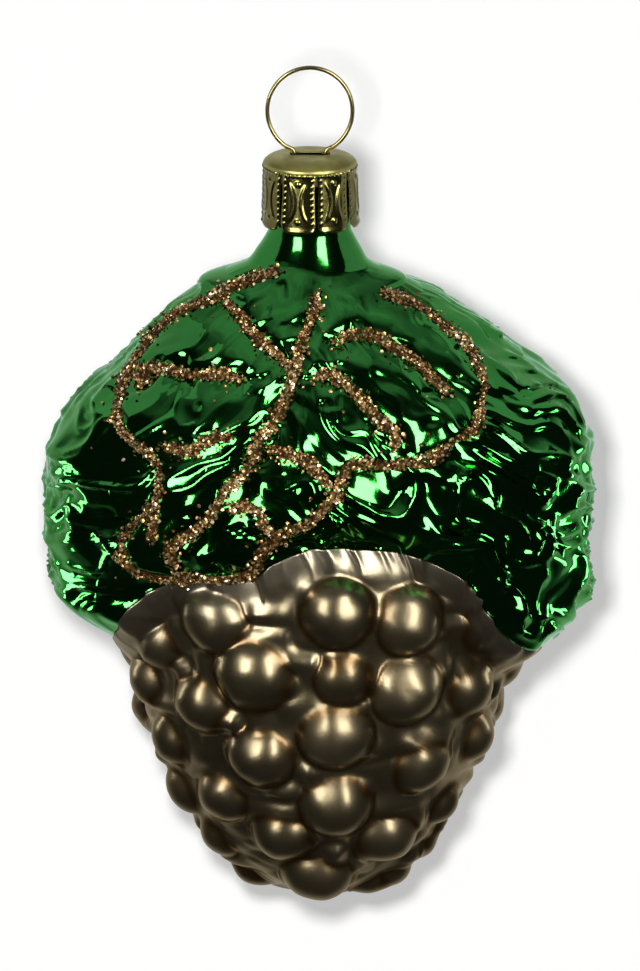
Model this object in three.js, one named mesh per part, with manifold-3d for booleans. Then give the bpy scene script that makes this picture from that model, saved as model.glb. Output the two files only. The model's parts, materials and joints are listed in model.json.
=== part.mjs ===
// Blown glass bunch of grapes: one hollow glass body with a lacquered leaf hood, glue trails
// with glitter on the leaf, a pressed crown cap and a sprung wire hanger.
// Millimetres, +Z up, the leaf faces -Y. The origin is the inside top of the hanging ring.
import * as THREE from "three";
import { mergeVertices } from "three/addons/utils/BufferGeometryUtils.js";
import Module from "manifold-3d";

const wasm = await Module();
wasm.setup();

// Wire hanger
const WIRE = 0.5; // wire diameter
const RING_WIDTH = 10.64; // outside
const RING_HEIGHT = 11.04; // outside, of the whole oval
const WAIST = 3.9; // between the two wires where they meet the cap
const LEG_DEPTH = 14; // of the leg tips below the cap's top
const LEG_KNEE = 9; // depth from which the legs run straight down
const LEG_GAP = 0.35; // between a leg and the bore
const LEG_NIP = [[0.3, 2.2], [0.45, 0.8]]; // how far each leg closes in below the waist, and how deep

// Crown cap
const TIN = 0.3; // thickness of the tin
const CAP_FIT = 0.42; // between the cap and the lacquered neck
const CAP_FLAT = 3.3; // radius of the flat top
const SHOULDER_DROP = 1.45; // from the flat top to the head of the petals
const PETAL_LENGTH = 7;
const PETAL_FLARE = 0.33; // how far a petal leans out at its tip
const PETAL_LIP = 0.5; // height of the rolled lip at a petal's tip
const PETALS = 8;
const PETAL_TURN = 8; // degrees from the front to the first slit
const SLIT_HEAD = 0.5; // from the petals' head down to the start of a slit
const SLIT_TOP = 0.24; // slit width there
const SLIT_END = 0.7; // slit width where the tips begin to round
const TIP_ROUND = 1.5; // height of the rounded petal tips
const TIP_CORNER = 1.5; // half of the opening between two petal tips
const TIP_BEND = 1.4; // where the rounding turns, as a share of the slit's half width
const SLOT_END = 0.78; // room past each wire in the slot
const SLOT_WIDTH = 1.15;
const CAP_ROUND = 0.3; // of the edges of the flat top and of the shoulder

// Glass body
const GLASS = 0.8; // wall
const NECK_RADIUS = 4.7; // outside of the bare neck
const MOUTH_GAP = 0.6; // between the mouth and the inside of the cap
const MOUTH_CUT = 1; // by how much the inside reaches out of the mouth, to open it
const FILM = 0.25; // lacquer on the leaf, drawn thicker than life
const FILM_GAP = 0.05; // between lacquer and glass
const LACQUER_TOP = 1.5; // from the mouth down to the lacquer's start
const HOOD_FLOOR = 3; // from the core's widest level down to where the hood closes inside it
const HOOD_WAIST = 0.7; // share of the hood's reach at the ring above that
const INSIDE_SHORT = 1.2; // from the hood's lower edge up to the end of its inside

// Cluster of grapes: a half ellipsoid with spheres set in it
const CORE_CENTRE = [1.3, 0]; // x, y
const CORE_DROP = 38.6; // of its widest level below the petal tips
const CORE_WIDTH = 23.6; // half width
const CORE_FRONT = 23.1;
const CORE_BACK = 23.4;
const CORE_HEIGHT = 44.8; // from its widest level to the bottom
const CORE_TAPER = 0.92; // below 1, the bottom is fuller than an ellipsoid's
const CORE_LIFT = 6; // how far the core reaches up inside the hood
const GRAPE_SINK = 1.7; // of a grape's centre below the core's surface

// Glue trails
const TRAIL_WIDTH = 1.3;
const TRAIL_HEIGHT = 0.6;
const TRAIL_CROWN = 0.6; // width of its top as a share of its foot
const TRAIL_GAP = 0.6; // between a trail and the lacquer
const TRAIL_STEP = 1.7; // length of a facet

// The leaf's lines are drawn as seen from the front and this far above, degrees
const VIEW_TILT = 16;

// Facets
const COLUMNS = 60;
const CROWDING = 0.35; // share by which columns draw together at the front
const HOOD_ROWS = 12;
const CORE_ROWS = 7;
const GRAPE_DETAIL = 1;
const RING_POINTS = 8; // in half of the ring's arc
const WIRE_STEPS = 50;
const WIRE_SIDES = 6;
const CAP_FACETS = 4; // to a petal
const SIGHT_STEP = 0.5;
const NORMAL_STEP = 0.05; // radians or millimetres, for a surface's normal

const rad = THREE.MathUtils.degToRad;

// Levels, from the ring downwards
const ringHalfWidth = (RING_WIDTH - WIRE) / 2;
const ringHalfHeight = (RING_HEIGHT - WIRE) / 2;
const ringCentre = WIRE / 2 - ringHalfHeight;
const waistShare = WAIST / 2 / ringHalfWidth;
const capTop = ringCentre - ringHalfHeight * Math.sqrt(1 - waistShare ** 2);
const petalHead = capTop - SHOULDER_DROP;
const hoodTop = petalHead - PETAL_LENGTH; // level of the petal tips
const lacquerRadius = NECK_RADIUS + FILM_GAP + FILM;
const rimRadius = lacquerRadius + CAP_FIT + TIN;
const overNeck = (NECK_RADIUS - CAP_FLAT) / (rimRadius - CAP_FLAT);
const mouth = capTop - overNeck * SHOULDER_DROP - TIN - MOUTH_GAP;
const boreRadius = NECK_RADIUS - GLASS;

// Leaf hood: drop below the petal tips, then the reach to the left, right, front and back
const HOOD = [
  [-8, NECK_RADIUS, NECK_RADIUS, NECK_RADIUS, NECK_RADIUS],
  [1, NECK_RADIUS + 0.1, NECK_RADIUS + 0.1, NECK_RADIUS + 0.1, NECK_RADIUS + 0.1],
  [3.5, 6.3, 6.1, 6, 5.8],
  [5.6, 7.8, 7.2, 7.2, 6.7],
  [7.3, 12, 9.8, 8.8, 8],
  [9, 13.8, 15.2, 10.9, 9.8],
  [11.2, 16.4, 17.9, 13.5, 12.6],
  [13.6, 18.9, 21.4, 16.1, 16],
  [18, 23, 26.7, 19.4, 19.7],
  [22.6, 28, 31.7, 22.2, 22.9],
  [26.6, 30.6, 33.3, 23.9, 25],
  [31.6, 31.4, 33.5, 24.6, 25.8],
  [36.7, 31.5, 33.5, 24.6, 25.8],
  [41.7, 31.4, 33.6, 24.2, 25.4],
  [44.8, 30.6, 33.5, 23.8, 25],
  [47.6, 27.9, 32.6, 23.4, 24.5],
  [50.2, 24.6, 30.4, 23, 24],
  [52.6, 22.8, 27.2, 22.4, 23.4],
];

// Lower edge of the leaf hood: azimuth in degrees from the front to the right, drop
const HOOD_EDGE = [
  [-150, 39.5],
  [-120, 44.5],
  [-90, 51.4],
  [-72, 46.1],
  [-58, 41.6],
  [-35, 39.3],
  [-18, 38.6],
  [-10, 36.2],
  [3, 34.6],
  [24, 35.2],
  [36, 37.2],
  [47, 40.1],
  [56, 44.6],
  [66, 49.6],
  [90, 51.9],
  [120, 45.5],
  [150, 40],
  [180, 37.5],
];

// The leaf as seen from the front: right of the axis, and below the petal tips
const LEAF_OUTLINE = [
  [-1, 7.2],
  [-4, 6.4],
  [-10.1, 8.7],
  [-17.5, 12.4],
  [-21.5, 17.6],
  [-23, 23.7],
  [-21, 26.8],
  [-18.1, 29.6],
  [-18.4, 34.4],
  [-22.3, 38.5],
  [-21.1, 42.2],
  [-16.7, 43.5],
  [-11, 43.4],
  [-7, 42],
  [-4.4, 38.5],
  [-0.1, 36.3],
  [2.8, 33.7],
  [4.6, 29.5],
  [11, 29.4],
  [16.4, 27.1],
  [19.8, 24.7],
  [20.8, 20.5],
  [19.2, 15.8],
  [12.5, 10.1],
  [8.3, 8.9],
  [4, 8.5],
];
const LEAF_RISE = 1.1; // of the leaf above the hood round it
const LEAF_EDGE = 2.2; // width of its soft edge
const VEIN_DEPTH = 0.7;
const VEIN_WIDTH = 1.8;
const LEAF_BLEND = 0.6; // share of the radius over which the front leaf gives way to the rear one
const LEAF_LIFT = 0.9; // above the hood, where the leaf's lines are drawn
const LEAF_PUFF = 0.4; // how far its fields swell between the veins
const PUFF_VEIN = 3.5; // from a vein to the full swell
const PUFF_EDGE = 4; // from the leaf's edge to the full swell

// Wide folds of the hood round the leaf: they slant down to the right on its right half and run
// level on its left half.
const FOLD_HEIGHT = 0.45;
const FOLD_PITCH = 8.6;
const FOLD_REACH = 27; // radius at which the pitch is measured
const FOLD_START = 8; // drop where they begin to rise, and over how much more they do
const FOLD_SLANT = [0.8, 0.6]; // down and across
const FOLD_FAN = 0.12;
const FOLD_BLEND = 0.67; // share of the radius over which the right half's give way to the left's
const FOLD_WAVES = [[1.1, 7, 0], [0.9, 9, 2]]; // sway, its length and an offset, right and left

// Glue trails by name, in the leaf's coordinates. The first five are veins that the glass has too.
const TRAILS = {
  glitter_midrib: [
    [1, 8.4],
    [0.4, 11.8],
    [-1.2, 15.4],
    [-2, 19],
    [-4.2, 24.4],
    [-5.9, 26.2],
    [-7.6, 30.3],
    [-12, 35.6],
    [-15.6, 38.6],
    [-16.6, 41.2],
  ],
  glitter_vein_upper_left: [
    [-8.4, 11.9],
    [-7.3, 13.4],
    [-5.8, 14.9],
    [-3.9, 17.2],
  ],
  glitter_vein_left: [
    [-20, 19.6],
    [-19.4, 18.3],
    [-18, 17.8],
    [-15.6, 18.7],
    [-10.3, 18.7],
    [-8.4, 19.4],
  ],
  glitter_vein_upper_right: [
    [2.8, 15.1],
    [4.2, 14.5],
    [6, 14],
    [7.8, 14.3],
    [11.3, 16.3],
    [14.4, 18.9],
    [16.4, 21.1],
  ],
  glitter_vein_lower_right: [
    [0.8, 19.4],
    [2, 18.6],
    [3.3, 18.9],
    [6.4, 22],
    [9.8, 25.4],
    [10.2, 27],
  ],
  glitter_edge_left: [
    [-4, 6.4],
    [-7.2, 7.4],
    [-10.1, 8.7],
    [-13.8, 10.5],
    [-17.5, 12.4],
    [-19.8, 14.5],
    [-21.5, 17.6],
    [-22.7, 20.8],
    [-23, 23.7],
    [-21, 26.6],
    [-18.6, 28.6],
    [-17.6, 31.7],
    [-18.4, 34.4],
    [-18.1, 37.6],
  ],
  glitter_edge_low: [
    [-20.6, 35.9],
    [-22.3, 37.5],
    [-22.4, 40],
    [-21.1, 42.4],
    [-18.6, 43.6],
    [-14.3, 43.3],
    [-10.8, 43.5],
    [-7.6, 42.7],
    [-5.8, 39.7],
    [-2.3, 37.3],
    [1, 35.5],
  ],
  glitter_edge_right: [
    [8.3, 8.9],
    [12.5, 10.1],
    [16.2, 12.9],
    [19.2, 15.8],
    [20.8, 20.5],
    [19.8, 24.4],
    [16.2, 27.1],
    [11, 29.3],
    [6, 29.3],
    [4.2, 30.6],
    [2.9, 33.4],
  ],
  glitter_twig_left: [
    [-16, 27.3],
    [-13.8, 27.7],
    [-12.4, 26.7],
    [-9.4, 25.6],
  ],
  glitter_twig_middle: [
    [-3.6, 27.8],
    [-2, 28.1],
    [0, 29.3],
    [1.9, 31.6],
  ],
  glitter_twig_low: [
    [-8.6, 34.5],
    [-7.2, 34.2],
    [-5.7, 35.1],
    [-4.9, 36.6],
  ],
};
const VEINS = Object.values(TRAILS).slice(0, 5);

// Grapes: azimuth in degrees from the front to the right, depth below the core's widest level in
// hundredths of its height, seen radius
const FRONT_GRAPES = [
  [-57, 22.3, 4],
  [-33, 12.1, 4.6],
  [5, 8.3, 4.5],
  [27, 11.8, 4.5],
  [56, 16.5, 4],
  [84, 34.4, 3.8],
  [-69, 36.6, 3.6],
  [-41, 37.3, 4],
  [-21, 26.1, 4.9],
  [7, 26.8, 3.6],
  [28, 31.5, 4.7],
  [54, 35.3, 4],
  [-62, 52.2, 3.6],
  [-21, 50.7, 4.3],
  [5, 43.5, 4.6],
  [38, 54.9, 4.1],
  [67, 52.5, 3.4],
  [-71, 69.2, 3.4],
  [-41, 65.6, 3.7],
  [6, 65.2, 4.5],
  [60, 71.5, 3],
  [-59, 81.2, 3.1],
  [-17, 75.4, 3.9],
  [31, 76.8, 4.1],
  [74, 85.2, 2.8],
  [-2, 89.3, 4.3],
  [60, 92.4, 3.1],
];
// Rows of the rear half, which the front doesn't show: depth, azimuths, seen radius
const REAR_ROWS = [
  [15.4, [104, 127, 149, 171, 193, 215, 237], 4.3],
  [34.4, [112, 136, 160, 183, 206, 230, 256], 4.3],
  [51.5, [105, 131, 156, 182, 208, 235, 261], 3.9],
  [71.2, [114, 145, 175, 206, 238], 3.8],
  [86.8, [122, 162, 203, 247], 3.7],
];
const BOTTOM_GRAPES = [
  [50, 94.6, 2.9],
  [186, 93.4, 3.4],
  [-70, 93.8, 2.9],
];

const smooth = (t) => THREE.MathUtils.smoothstep(t, 0, 1);

// Value in a column of rows that run along their first column, by a cubic that never overshoots.
function slopeAt(rows, i, column) {
  if (i === 0 || i === rows.length - 1) return 0;
  const [before, here, after] = rows.slice(i - 1, i + 2);
  const up = (here[column] - before[column]) / (here[0] - before[0]);
  const down = (after[column] - here[column]) / (after[0] - here[0]);
  return up * down > 0 ? (2 * up * down) / (up + down) : 0;
}

function valueAt(rows, position, column) {
  const last = rows.length - 2;
  const found = rows.findIndex((row) => row[0] > position) - 1;
  const i = found < 0 ? (position < rows[0][0] ? 0 : last) : Math.min(found, last);
  const span = rows[i + 1][0] - rows[i][0];
  const t = THREE.MathUtils.clamp((position - rows[i][0]) / span, 0, 1);
  const rise = rows[i + 1][column] - rows[i][column];
  const bend = smooth(t);
  const start = slopeAt(rows, i, column) * span * t * (1 - t) ** 2;
  const end = slopeAt(rows, i + 1, column) * span * t * t * (t - 1);
  return rows[i][column] + rise * bend + start + end;
}

// Radius of an oval with its own reach to each side
function ovalRadius(azimuth, left, right, front, back) {
  const s = Math.sin(azimuth);
  const c = Math.cos(azimuth);
  return 1 / Math.hypot(s / (s > 0 ? right : left), c / (c > 0 ? front : back));
}

const turned = (degrees) => HOOD_EDGE.map(([azimuth, drop]) => [azimuth + degrees, drop]);
const HOOD_EDGE_ROUND = [...turned(-360), ...turned(0), ...turned(360)];

function hoodEdge(azimuth) {
  return valueAt(HOOD_EDGE_ROUND, THREE.MathUtils.radToDeg(azimuth), 1);
}

function lineDistance(x, y, points, closed) {
  const spans = points.length - (closed ? 0 : 1);
  let least = Infinity;
  for (let i = 0; i < spans; i += 1) {
    const [ax, ay] = points[i];
    const [bx, by] = points[(i + 1) % points.length];
    const along = ((x - ax) * (bx - ax) + (y - ay) * (by - ay)) / ((bx - ax) ** 2 + (by - ay) ** 2);
    const t = THREE.MathUtils.clamp(along, 0, 1);
    least = Math.min(least, Math.hypot(x - ax - t * (bx - ax), y - ay - t * (by - ay)));
  }
  return least;
}

function isInside(x, y, points) {
  let inside = false;
  points.forEach(([ax, ay], i) => {
    const [bx, by] = points[(i + 1) % points.length];
    if (ay > y !== by > y && x < ax + ((bx - ax) * (y - ay)) / (by - ay)) inside = !inside;
  });
  return inside;
}

// The leaf stands proud of the hood, with grooves where its veins run.
function leafRelief(x, view) {
  const reach = lineDistance(x, view, LEAF_OUTLINE, true);
  const signed = isInside(x, view, LEAF_OUTLINE) ? reach : -reach;
  const plateau = smooth(signed / LEAF_EDGE + 0.5);
  const vein = Math.min(...VEINS.map((line) => lineDistance(x, view, line, false)));
  const groove = VEIN_DEPTH * Math.exp(-((vein / VEIN_WIDTH) ** 2));
  const puff = LEAF_PUFF * smooth(vein / PUFF_VEIN) * smooth(signed / PUFF_EDGE);
  return plateau * (LEAF_RISE + puff - groove);
}

function foldRelief(azimuth, drop) {
  const across = FOLD_REACH * azimuth;
  const waves = [FOLD_SLANT[0] * drop - FOLD_SLANT[1] * across, drop + FOLD_FAN * across];
  const [right, left] = waves.map((run, i) => {
    const [sway, length, offset] = FOLD_WAVES[i];
    return Math.sin((2 * Math.PI * run) / FOLD_PITCH + sway * Math.sin(across / length) + offset);
  });
  const side = smooth(0.5 + Math.sin(azimuth) / FOLD_BLEND);
  return FOLD_HEIGHT * smooth((drop - FOLD_START) / FOLD_START) * (side * right + (1 - side) * left);
}

// Height of the leaf, and of the folds where it ends
function reliefAt(azimuth, drop, x, view) {
  const leaf = leafRelief(x, view);
  return leaf + (1 - smooth(leaf / LEAF_LIFT)) * foldRelief(azimuth, drop);
}

const tilt = rad(VIEW_TILT);

// How far below the petal tips a point is seen, from the front and above
function viewDrop(y, z) {
  return -(z - hoodTop) * Math.cos(tilt) - y * Math.sin(tilt);
}

function hoodRadius(azimuth, drop) {
  const reach = [1, 2, 3, 4].map((column) => valueAt(HOOD, drop, column));
  return ovalRadius(azimuth, ...reach);
}

// A point of the hood. The rear carries the same leaf, half a turn round.
function hoodPoint(azimuth, drop) {
  const base = hoodRadius(azimuth, drop);
  const x = (base + LEAF_LIFT) * Math.sin(azimuth);
  const y = -(base + LEAF_LIFT) * Math.cos(azimuth);
  const z = hoodTop - drop;
  const front = smooth(0.5 + Math.cos(azimuth) / LEAF_BLEND);
  const opposite = azimuth > 0 ? azimuth - Math.PI : azimuth + Math.PI;
  const ahead = front > 0 ? front * reliefAt(azimuth, drop, x, viewDrop(y, z)) : 0;
  const behind = front < 1 ? (1 - front) * reliefAt(opposite, drop, -x, viewDrop(-y, z)) : 0;
  const radius = base + ahead + behind;
  return new THREE.Vector3(radius * Math.sin(azimuth), -radius * Math.cos(azimuth), z);
}

// The same point moved out along the surface's normal
function hoodSkin(azimuth, drop, out) {
  const step = NORMAL_STEP;
  const here = hoodPoint(azimuth, drop);
  const across = hoodPoint(azimuth + step, drop).sub(hoodPoint(azimuth - step, drop));
  const down = hoodPoint(azimuth, drop + step).sub(hoodPoint(azimuth, drop - step));
  return here.addScaledVector(down.cross(across).normalize(), out);
}

const meshOf = (points, faces) => new THREE.BufferGeometry().setFromPoints(points).setIndex(faces);

// Faces between two rings of points, whose first points have the numbers a and b
function bandFaces(count, a, b) {
  return Array.from({ length: count }, (_, j) => {
    const k = (j + 1) % count;
    return [a + j, b + j, b + k, a + j, b + k, a + k];
  }).flat();
}

function skinFaces(count, rings, first) {
  return Array.from({ length: rings - 1 }, (_, i) => {
    const start = first + i * count;
    return bandFaces(count, start, start + count);
  }).flat();
}

// A closed skin through rings of equal count, with a pole at each end
function skin(rings, poles) {
  const count = rings[0].length;
  const last = (rings.length - 1) * count;
  const top = rings.length * count;
  const ends = Array.from({ length: count }, (_, j) => {
    const k = (j + 1) % count;
    return [top, j, k, top + 1, last + k, last + j];
  }).flat();
  return meshOf([...rings.flat(), ...poles], [...skinFaces(count, rings.length, 0), ...ends]);
}

// A sleeve between an outer and an inner skin whose facets lie over each other
function sleeve(outer, inner) {
  const count = outer[0].length;
  const start = outer.length * count;
  const last = start - count;
  const faces = [
    ...skinFaces(count, outer.length, 0),
    ...skinFaces(count, outer.length, start).reverse(),
    ...bandFaces(count, start, 0),
    ...bandFaces(count, last, start + last),
  ];
  return meshOf([...outer.flat(), ...inner.flat()], faces);
}

function solidOf(geometry) {
  const bare = geometry.clone();
  bare.deleteAttribute("normal");
  bare.deleteAttribute("uv");
  const merged = mergeVertices(bare, 1e-4);
  return new wasm.Manifold(
    new wasm.Mesh({
      numProp: 3,
      vertProperties: merged.attributes.position.array,
      triVerts: new Uint32Array(merged.index.array),
    }),
  );
}

function geometryOf(solid) {
  const mesh = solid.getMesh();
  const geometry = new THREE.BufferGeometry();
  geometry.setAttribute("position", new THREE.BufferAttribute(mesh.vertProperties, 3));
  geometry.setIndex(new THREE.BufferAttribute(mesh.triVerts, 1));
  return geometry;
}

const ornament = new THREE.Group();

function addPiece(name, geometry, color, roughness, metalness) {
  const shaded = geometry.index ? geometry.toNonIndexed() : geometry;
  shaded.computeVertexNormals();
  const material = new THREE.MeshStandardMaterial({ color, roughness, metalness });
  const mesh = new THREE.Mesh(shaded, material);
  mesh.name = name;
  ornament.add(mesh);
  return mesh;
}

function azimuths(columns) {
  const even = Array.from({ length: columns }, (_, i) => (i / columns) * 2 * Math.PI - Math.PI);
  return even.map((turn) => turn - CROWDING * Math.sin(turn));
}

// Levels of the hood's rows: fixed ones down the neck and shoulder, then even ones to its wavy edge.
const neckHeight = mouth - hoodTop;
const SHOULDER_DROPS = [0, 2.6, 5, 6.9, 8.4, 11];

function hoodDrops(azimuth, first, short) {
  const lastFixed = SHOULDER_DROPS.at(-1);
  const toEdge = hoodEdge(azimuth) - short - lastFixed;
  const even = Array.from({ length: HOOD_ROWS }, (_, i) => lastFixed + (toEdge * (i + 1)) / HOOD_ROWS);
  return [first, ...SHOULDER_DROPS, ...even];
}

function hoodRings(columns, first, short, out) {
  const lines = azimuths(columns).map((azimuth) =>
    hoodDrops(azimuth, first, short).map((drop) => hoodSkin(azimuth, drop, out)),
  );
  return lines[0].map((_, row) => lines.map((line) => line[row]));
}

const coreLevel = hoodTop - CORE_DROP;

// The hood as a solid that ends inside the core of the cluster
function hoodSolid(columns, first, short, out) {
  const rings = hoodRings(columns, first, short, out);
  const inner = rings.at(-1).map((p) => new THREE.Vector3(HOOD_WAIST * p.x, HOOD_WAIST * p.y, p.z));
  const top = new THREE.Vector3(0, 0, hoodTop - first);
  const bottom = new THREE.Vector3(0, 0, coreLevel - HOOD_FLOOR);
  return solidOf(skin([...rings, inner], [top, bottom]));
}

function corePoint(azimuth, turn, inset) {
  const wide = CORE_WIDTH - inset;
  const widest = ovalRadius(azimuth, wide, wide, CORE_FRONT - inset, CORE_BACK - inset);
  const radius = widest * Math.cos(turn) ** CORE_TAPER;
  return new THREE.Vector3(
    CORE_CENTRE[0] + radius * Math.sin(azimuth),
    CORE_CENTRE[1] - radius * Math.cos(azimuth),
    coreLevel - (CORE_HEIGHT - inset) * Math.sin(turn),
  );
}

function coreSolid(columns, inset) {
  const turns = Array.from({ length: CORE_ROWS }, (_, i) => (i / CORE_ROWS) * (Math.PI / 2));
  const rings = turns.map((turn) => azimuths(columns).map((azimuth) => corePoint(azimuth, turn, inset)));
  const head = rings[0].map((p) => new THREE.Vector3(p.x, p.y, p.z + CORE_LIFT));
  const poles = [new THREE.Vector3(0, 0, coreLevel + CORE_LIFT), corePoint(0, Math.PI / 2, inset)];
  return solidOf(skin([head, ...rings], poles));
}

// A grape: a sphere set in the core so that it is seen with the given radius
function grapeSolid([azimuth, depth, seen]) {
  const turn = Math.asin(depth / 100);
  const angle = rad(azimuth);
  const here = corePoint(angle, turn, 0);
  const step = NORMAL_STEP;
  const across = corePoint(angle + step, turn, 0).sub(corePoint(angle - step, turn, 0));
  const down = corePoint(angle, turn + step, 0).sub(corePoint(angle, turn - step, 0));
  const centre = here.addScaledVector(down.cross(across).normalize(), -GRAPE_SINK);
  const ball = new THREE.IcosahedronGeometry(Math.hypot(seen, GRAPE_SINK), GRAPE_DETAIL);
  return solidOf(ball.translate(...centre));
}

const rearGrapes = REAR_ROWS.flatMap(([depth, angles, seen]) => angles.map((angle) => [angle, depth, seen]));
const grapes = [...FRONT_GRAPES, ...rearGrapes, ...BOTTOM_GRAPES];

function makeGlass() {
  const outside = wasm.Manifold.union([
    hoodSolid(COLUMNS, -neckHeight, 0, 0),
    coreSolid(COLUMNS / 2, 0),
    ...grapes.map((grape) => grapeSolid(grape)),
  ]);
  const upper = hoodSolid(COLUMNS / 2, -neckHeight - MOUTH_CUT, INSIDE_SHORT, -GLASS);
  const inside = upper.add(coreSolid(COLUMNS / 2, GLASS));
  return geometryOf(outside.subtract(inside));
}
addPiece("glass_body", makeGlass(), 0x9c8a63, 0.35, 0.8);

// Lacquer over the leaf and neck, on the same facets as the glass
function makeLacquer() {
  const outer = hoodRings(COLUMNS, LACQUER_TOP - neckHeight, 0, FILM_GAP + FILM);
  const inner = hoodRings(COLUMNS, LACQUER_TOP - neckHeight, 0, FILM_GAP);
  return sleeve(outer, inner);
}
const lacquer = addPiece("leaf_lacquer", makeLacquer(), 0x1d7d33, 0.12, 0.9);

// Glue trails on the leaf. A line of sight is followed inwards until it meets the hood.
function leafPlace(x, view) {
  const placeAt = (y) => [Math.atan2(x, -y), (view + y * Math.sin(tilt)) / Math.cos(tilt)];
  const isOutside = (y) => Math.hypot(x, y) > hoodRadius(...placeAt(y)) + LEAF_LIFT;
  let outer = -CORE_FRONT - CORE_BACK;
  while (outer < 0 && isOutside(outer + SIGHT_STEP)) outer += SIGHT_STEP;
  let inner = outer + SIGHT_STEP;
  for (let i = 0; i < 10; i += 1) {
    const middle = (outer + inner) / 2;
    if (isOutside(middle)) outer = middle;
    else inner = middle;
  }
  return placeAt(inner);
}

const ray = new THREE.Raycaster();
ray.far = 2 * LEAF_EDGE;

// A point moved down or up to the lacquer's facets, where there are some, and out by the given height
function onLacquer(point, up, height) {
  ray.set(point.clone().addScaledVector(up, ray.far / 2), up.clone().negate());
  const [found] = ray.intersectObject(lacquer);
  return (found ? found.point : point.clone()).addScaledVector(up, height);
}

function makeTrail(points) {
  const line = new THREE.CatmullRomCurve3(points.map(([x, view]) => new THREE.Vector3(x, view, 0)));
  const steps = Math.ceil(line.getLength() / TRAIL_STEP);
  const places = line.getSpacedPoints(steps).map((p) => leafPlace(p.x, p.y));
  const route = places.map(([azimuth, drop]) => hoodSkin(azimuth, drop, FILM_GAP + FILM));
  const rings = places.map(([azimuth, drop], i) => {
    const up = hoodSkin(azimuth, drop, 1).sub(hoodSkin(azimuth, drop, 0)).normalize();
    const along = route[Math.min(i + 1, steps)].clone().sub(route[Math.max(i - 1, 0)]);
    const side = along.cross(up).setLength(TRAIL_WIDTH / 2);
    const place = (share, height) =>
      onLacquer(route[i].clone().addScaledVector(side, share), up, TRAIL_GAP + height);
    const crown = TRAIL_CROWN;
    return [place(1, 0), place(crown, TRAIL_HEIGHT), place(-crown, TRAIL_HEIGHT), place(-1, 0)];
  });
  const sumOf = (ring) => ring.reduce((sum, p) => sum.add(p), new THREE.Vector3());
  const poles = [rings[0], rings.at(-1)].map((ring) => sumOf(ring).divideScalar(ring.length));
  return skin(rings, poles);
}
Object.entries(TRAILS).forEach(([name, points]) => addPiece(name, makeTrail(points), 0x7a4a20, 0.5, 0.7));

// Crown cap
function makeCap() {
  const tip = hoodTop;
  const outline = [
    [CAP_FLAT, capTop],
    [CAP_FLAT + CAP_ROUND, capTop - CAP_ROUND / 3],
    [rimRadius - CAP_ROUND, petalHead + CAP_ROUND / 3],
    [rimRadius, petalHead - CAP_ROUND],
    [rimRadius + PETAL_FLARE / 2, (petalHead + tip) / 2],
    [rimRadius + PETAL_FLARE, tip + PETAL_LIP],
    [rimRadius + PETAL_FLARE - TIN / 3, tip],
  ];
  const outside = outline.map(([r, z]) => new THREE.Vector2(r, z));
  const inside = outline.map(([r, z], i) => new THREE.Vector2(r - (i < 2 ? 0 : TIN), z - (i < 4 ? TIN : 0)));
  const top = new THREE.Vector2(0, capTop);
  const under = new THREE.Vector2(0, capTop - TIN);
  const profile = [under, ...inside, ...outside.reverse(), top];
  return new THREE.LatheGeometry(profile, CAP_FACETS * PETALS, rad(PETAL_TURN)).rotateX(Math.PI / 2);
}

// Opening between two petals: a slit that widens to the rounded corners of their tips
function petalCutter() {
  const head = petalHead - SLIT_HEAD;
  const low = hoodTop - TIP_ROUND;
  const half = SLIT_END / 2;
  const shape = new THREE.Shape();
  shape.moveTo(-SLIT_TOP / 2, head);
  shape.lineTo(-half, hoodTop + TIP_ROUND);
  shape.quadraticCurveTo(-TIP_BEND * half, hoodTop + TIP_ROUND / 5, -TIP_CORNER, hoodTop);
  shape.lineTo(-TIP_CORNER, low);
  shape.lineTo(TIP_CORNER, low);
  shape.lineTo(TIP_CORNER, hoodTop);
  shape.quadraticCurveTo(TIP_BEND * half, hoodTop + TIP_ROUND / 5, half, hoodTop + TIP_ROUND);
  shape.lineTo(SLIT_TOP / 2, head);
  const depth = rimRadius;
  const blade = new THREE.ExtrudeGeometry(shape, { depth, bevelEnabled: false, curveSegments: 3 });
  return blade.rotateX(Math.PI / 2).translate(0, -rimRadius / 2, 0);
}

function makeCrown() {
  let crown = solidOf(makeCap());
  const blade = petalCutter();
  for (let i = 0; i < PETALS; i += 1) {
    crown = crown.subtract(solidOf(blade.clone().rotateZ(rad(PETAL_TURN + (360 * i) / PETALS))));
  }
  const length = WAIST + WIRE + 2 * SLOT_END;
  const slot = new THREE.BoxGeometry(length, SLOT_WIDTH, 4 * TIN).translate(0, 0, capTop);
  return geometryOf(crown.subtract(solidOf(slot)));
}
addPiece("crown_cap", makeCrown(), 0xa79a52, 0.25, 1);

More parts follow.
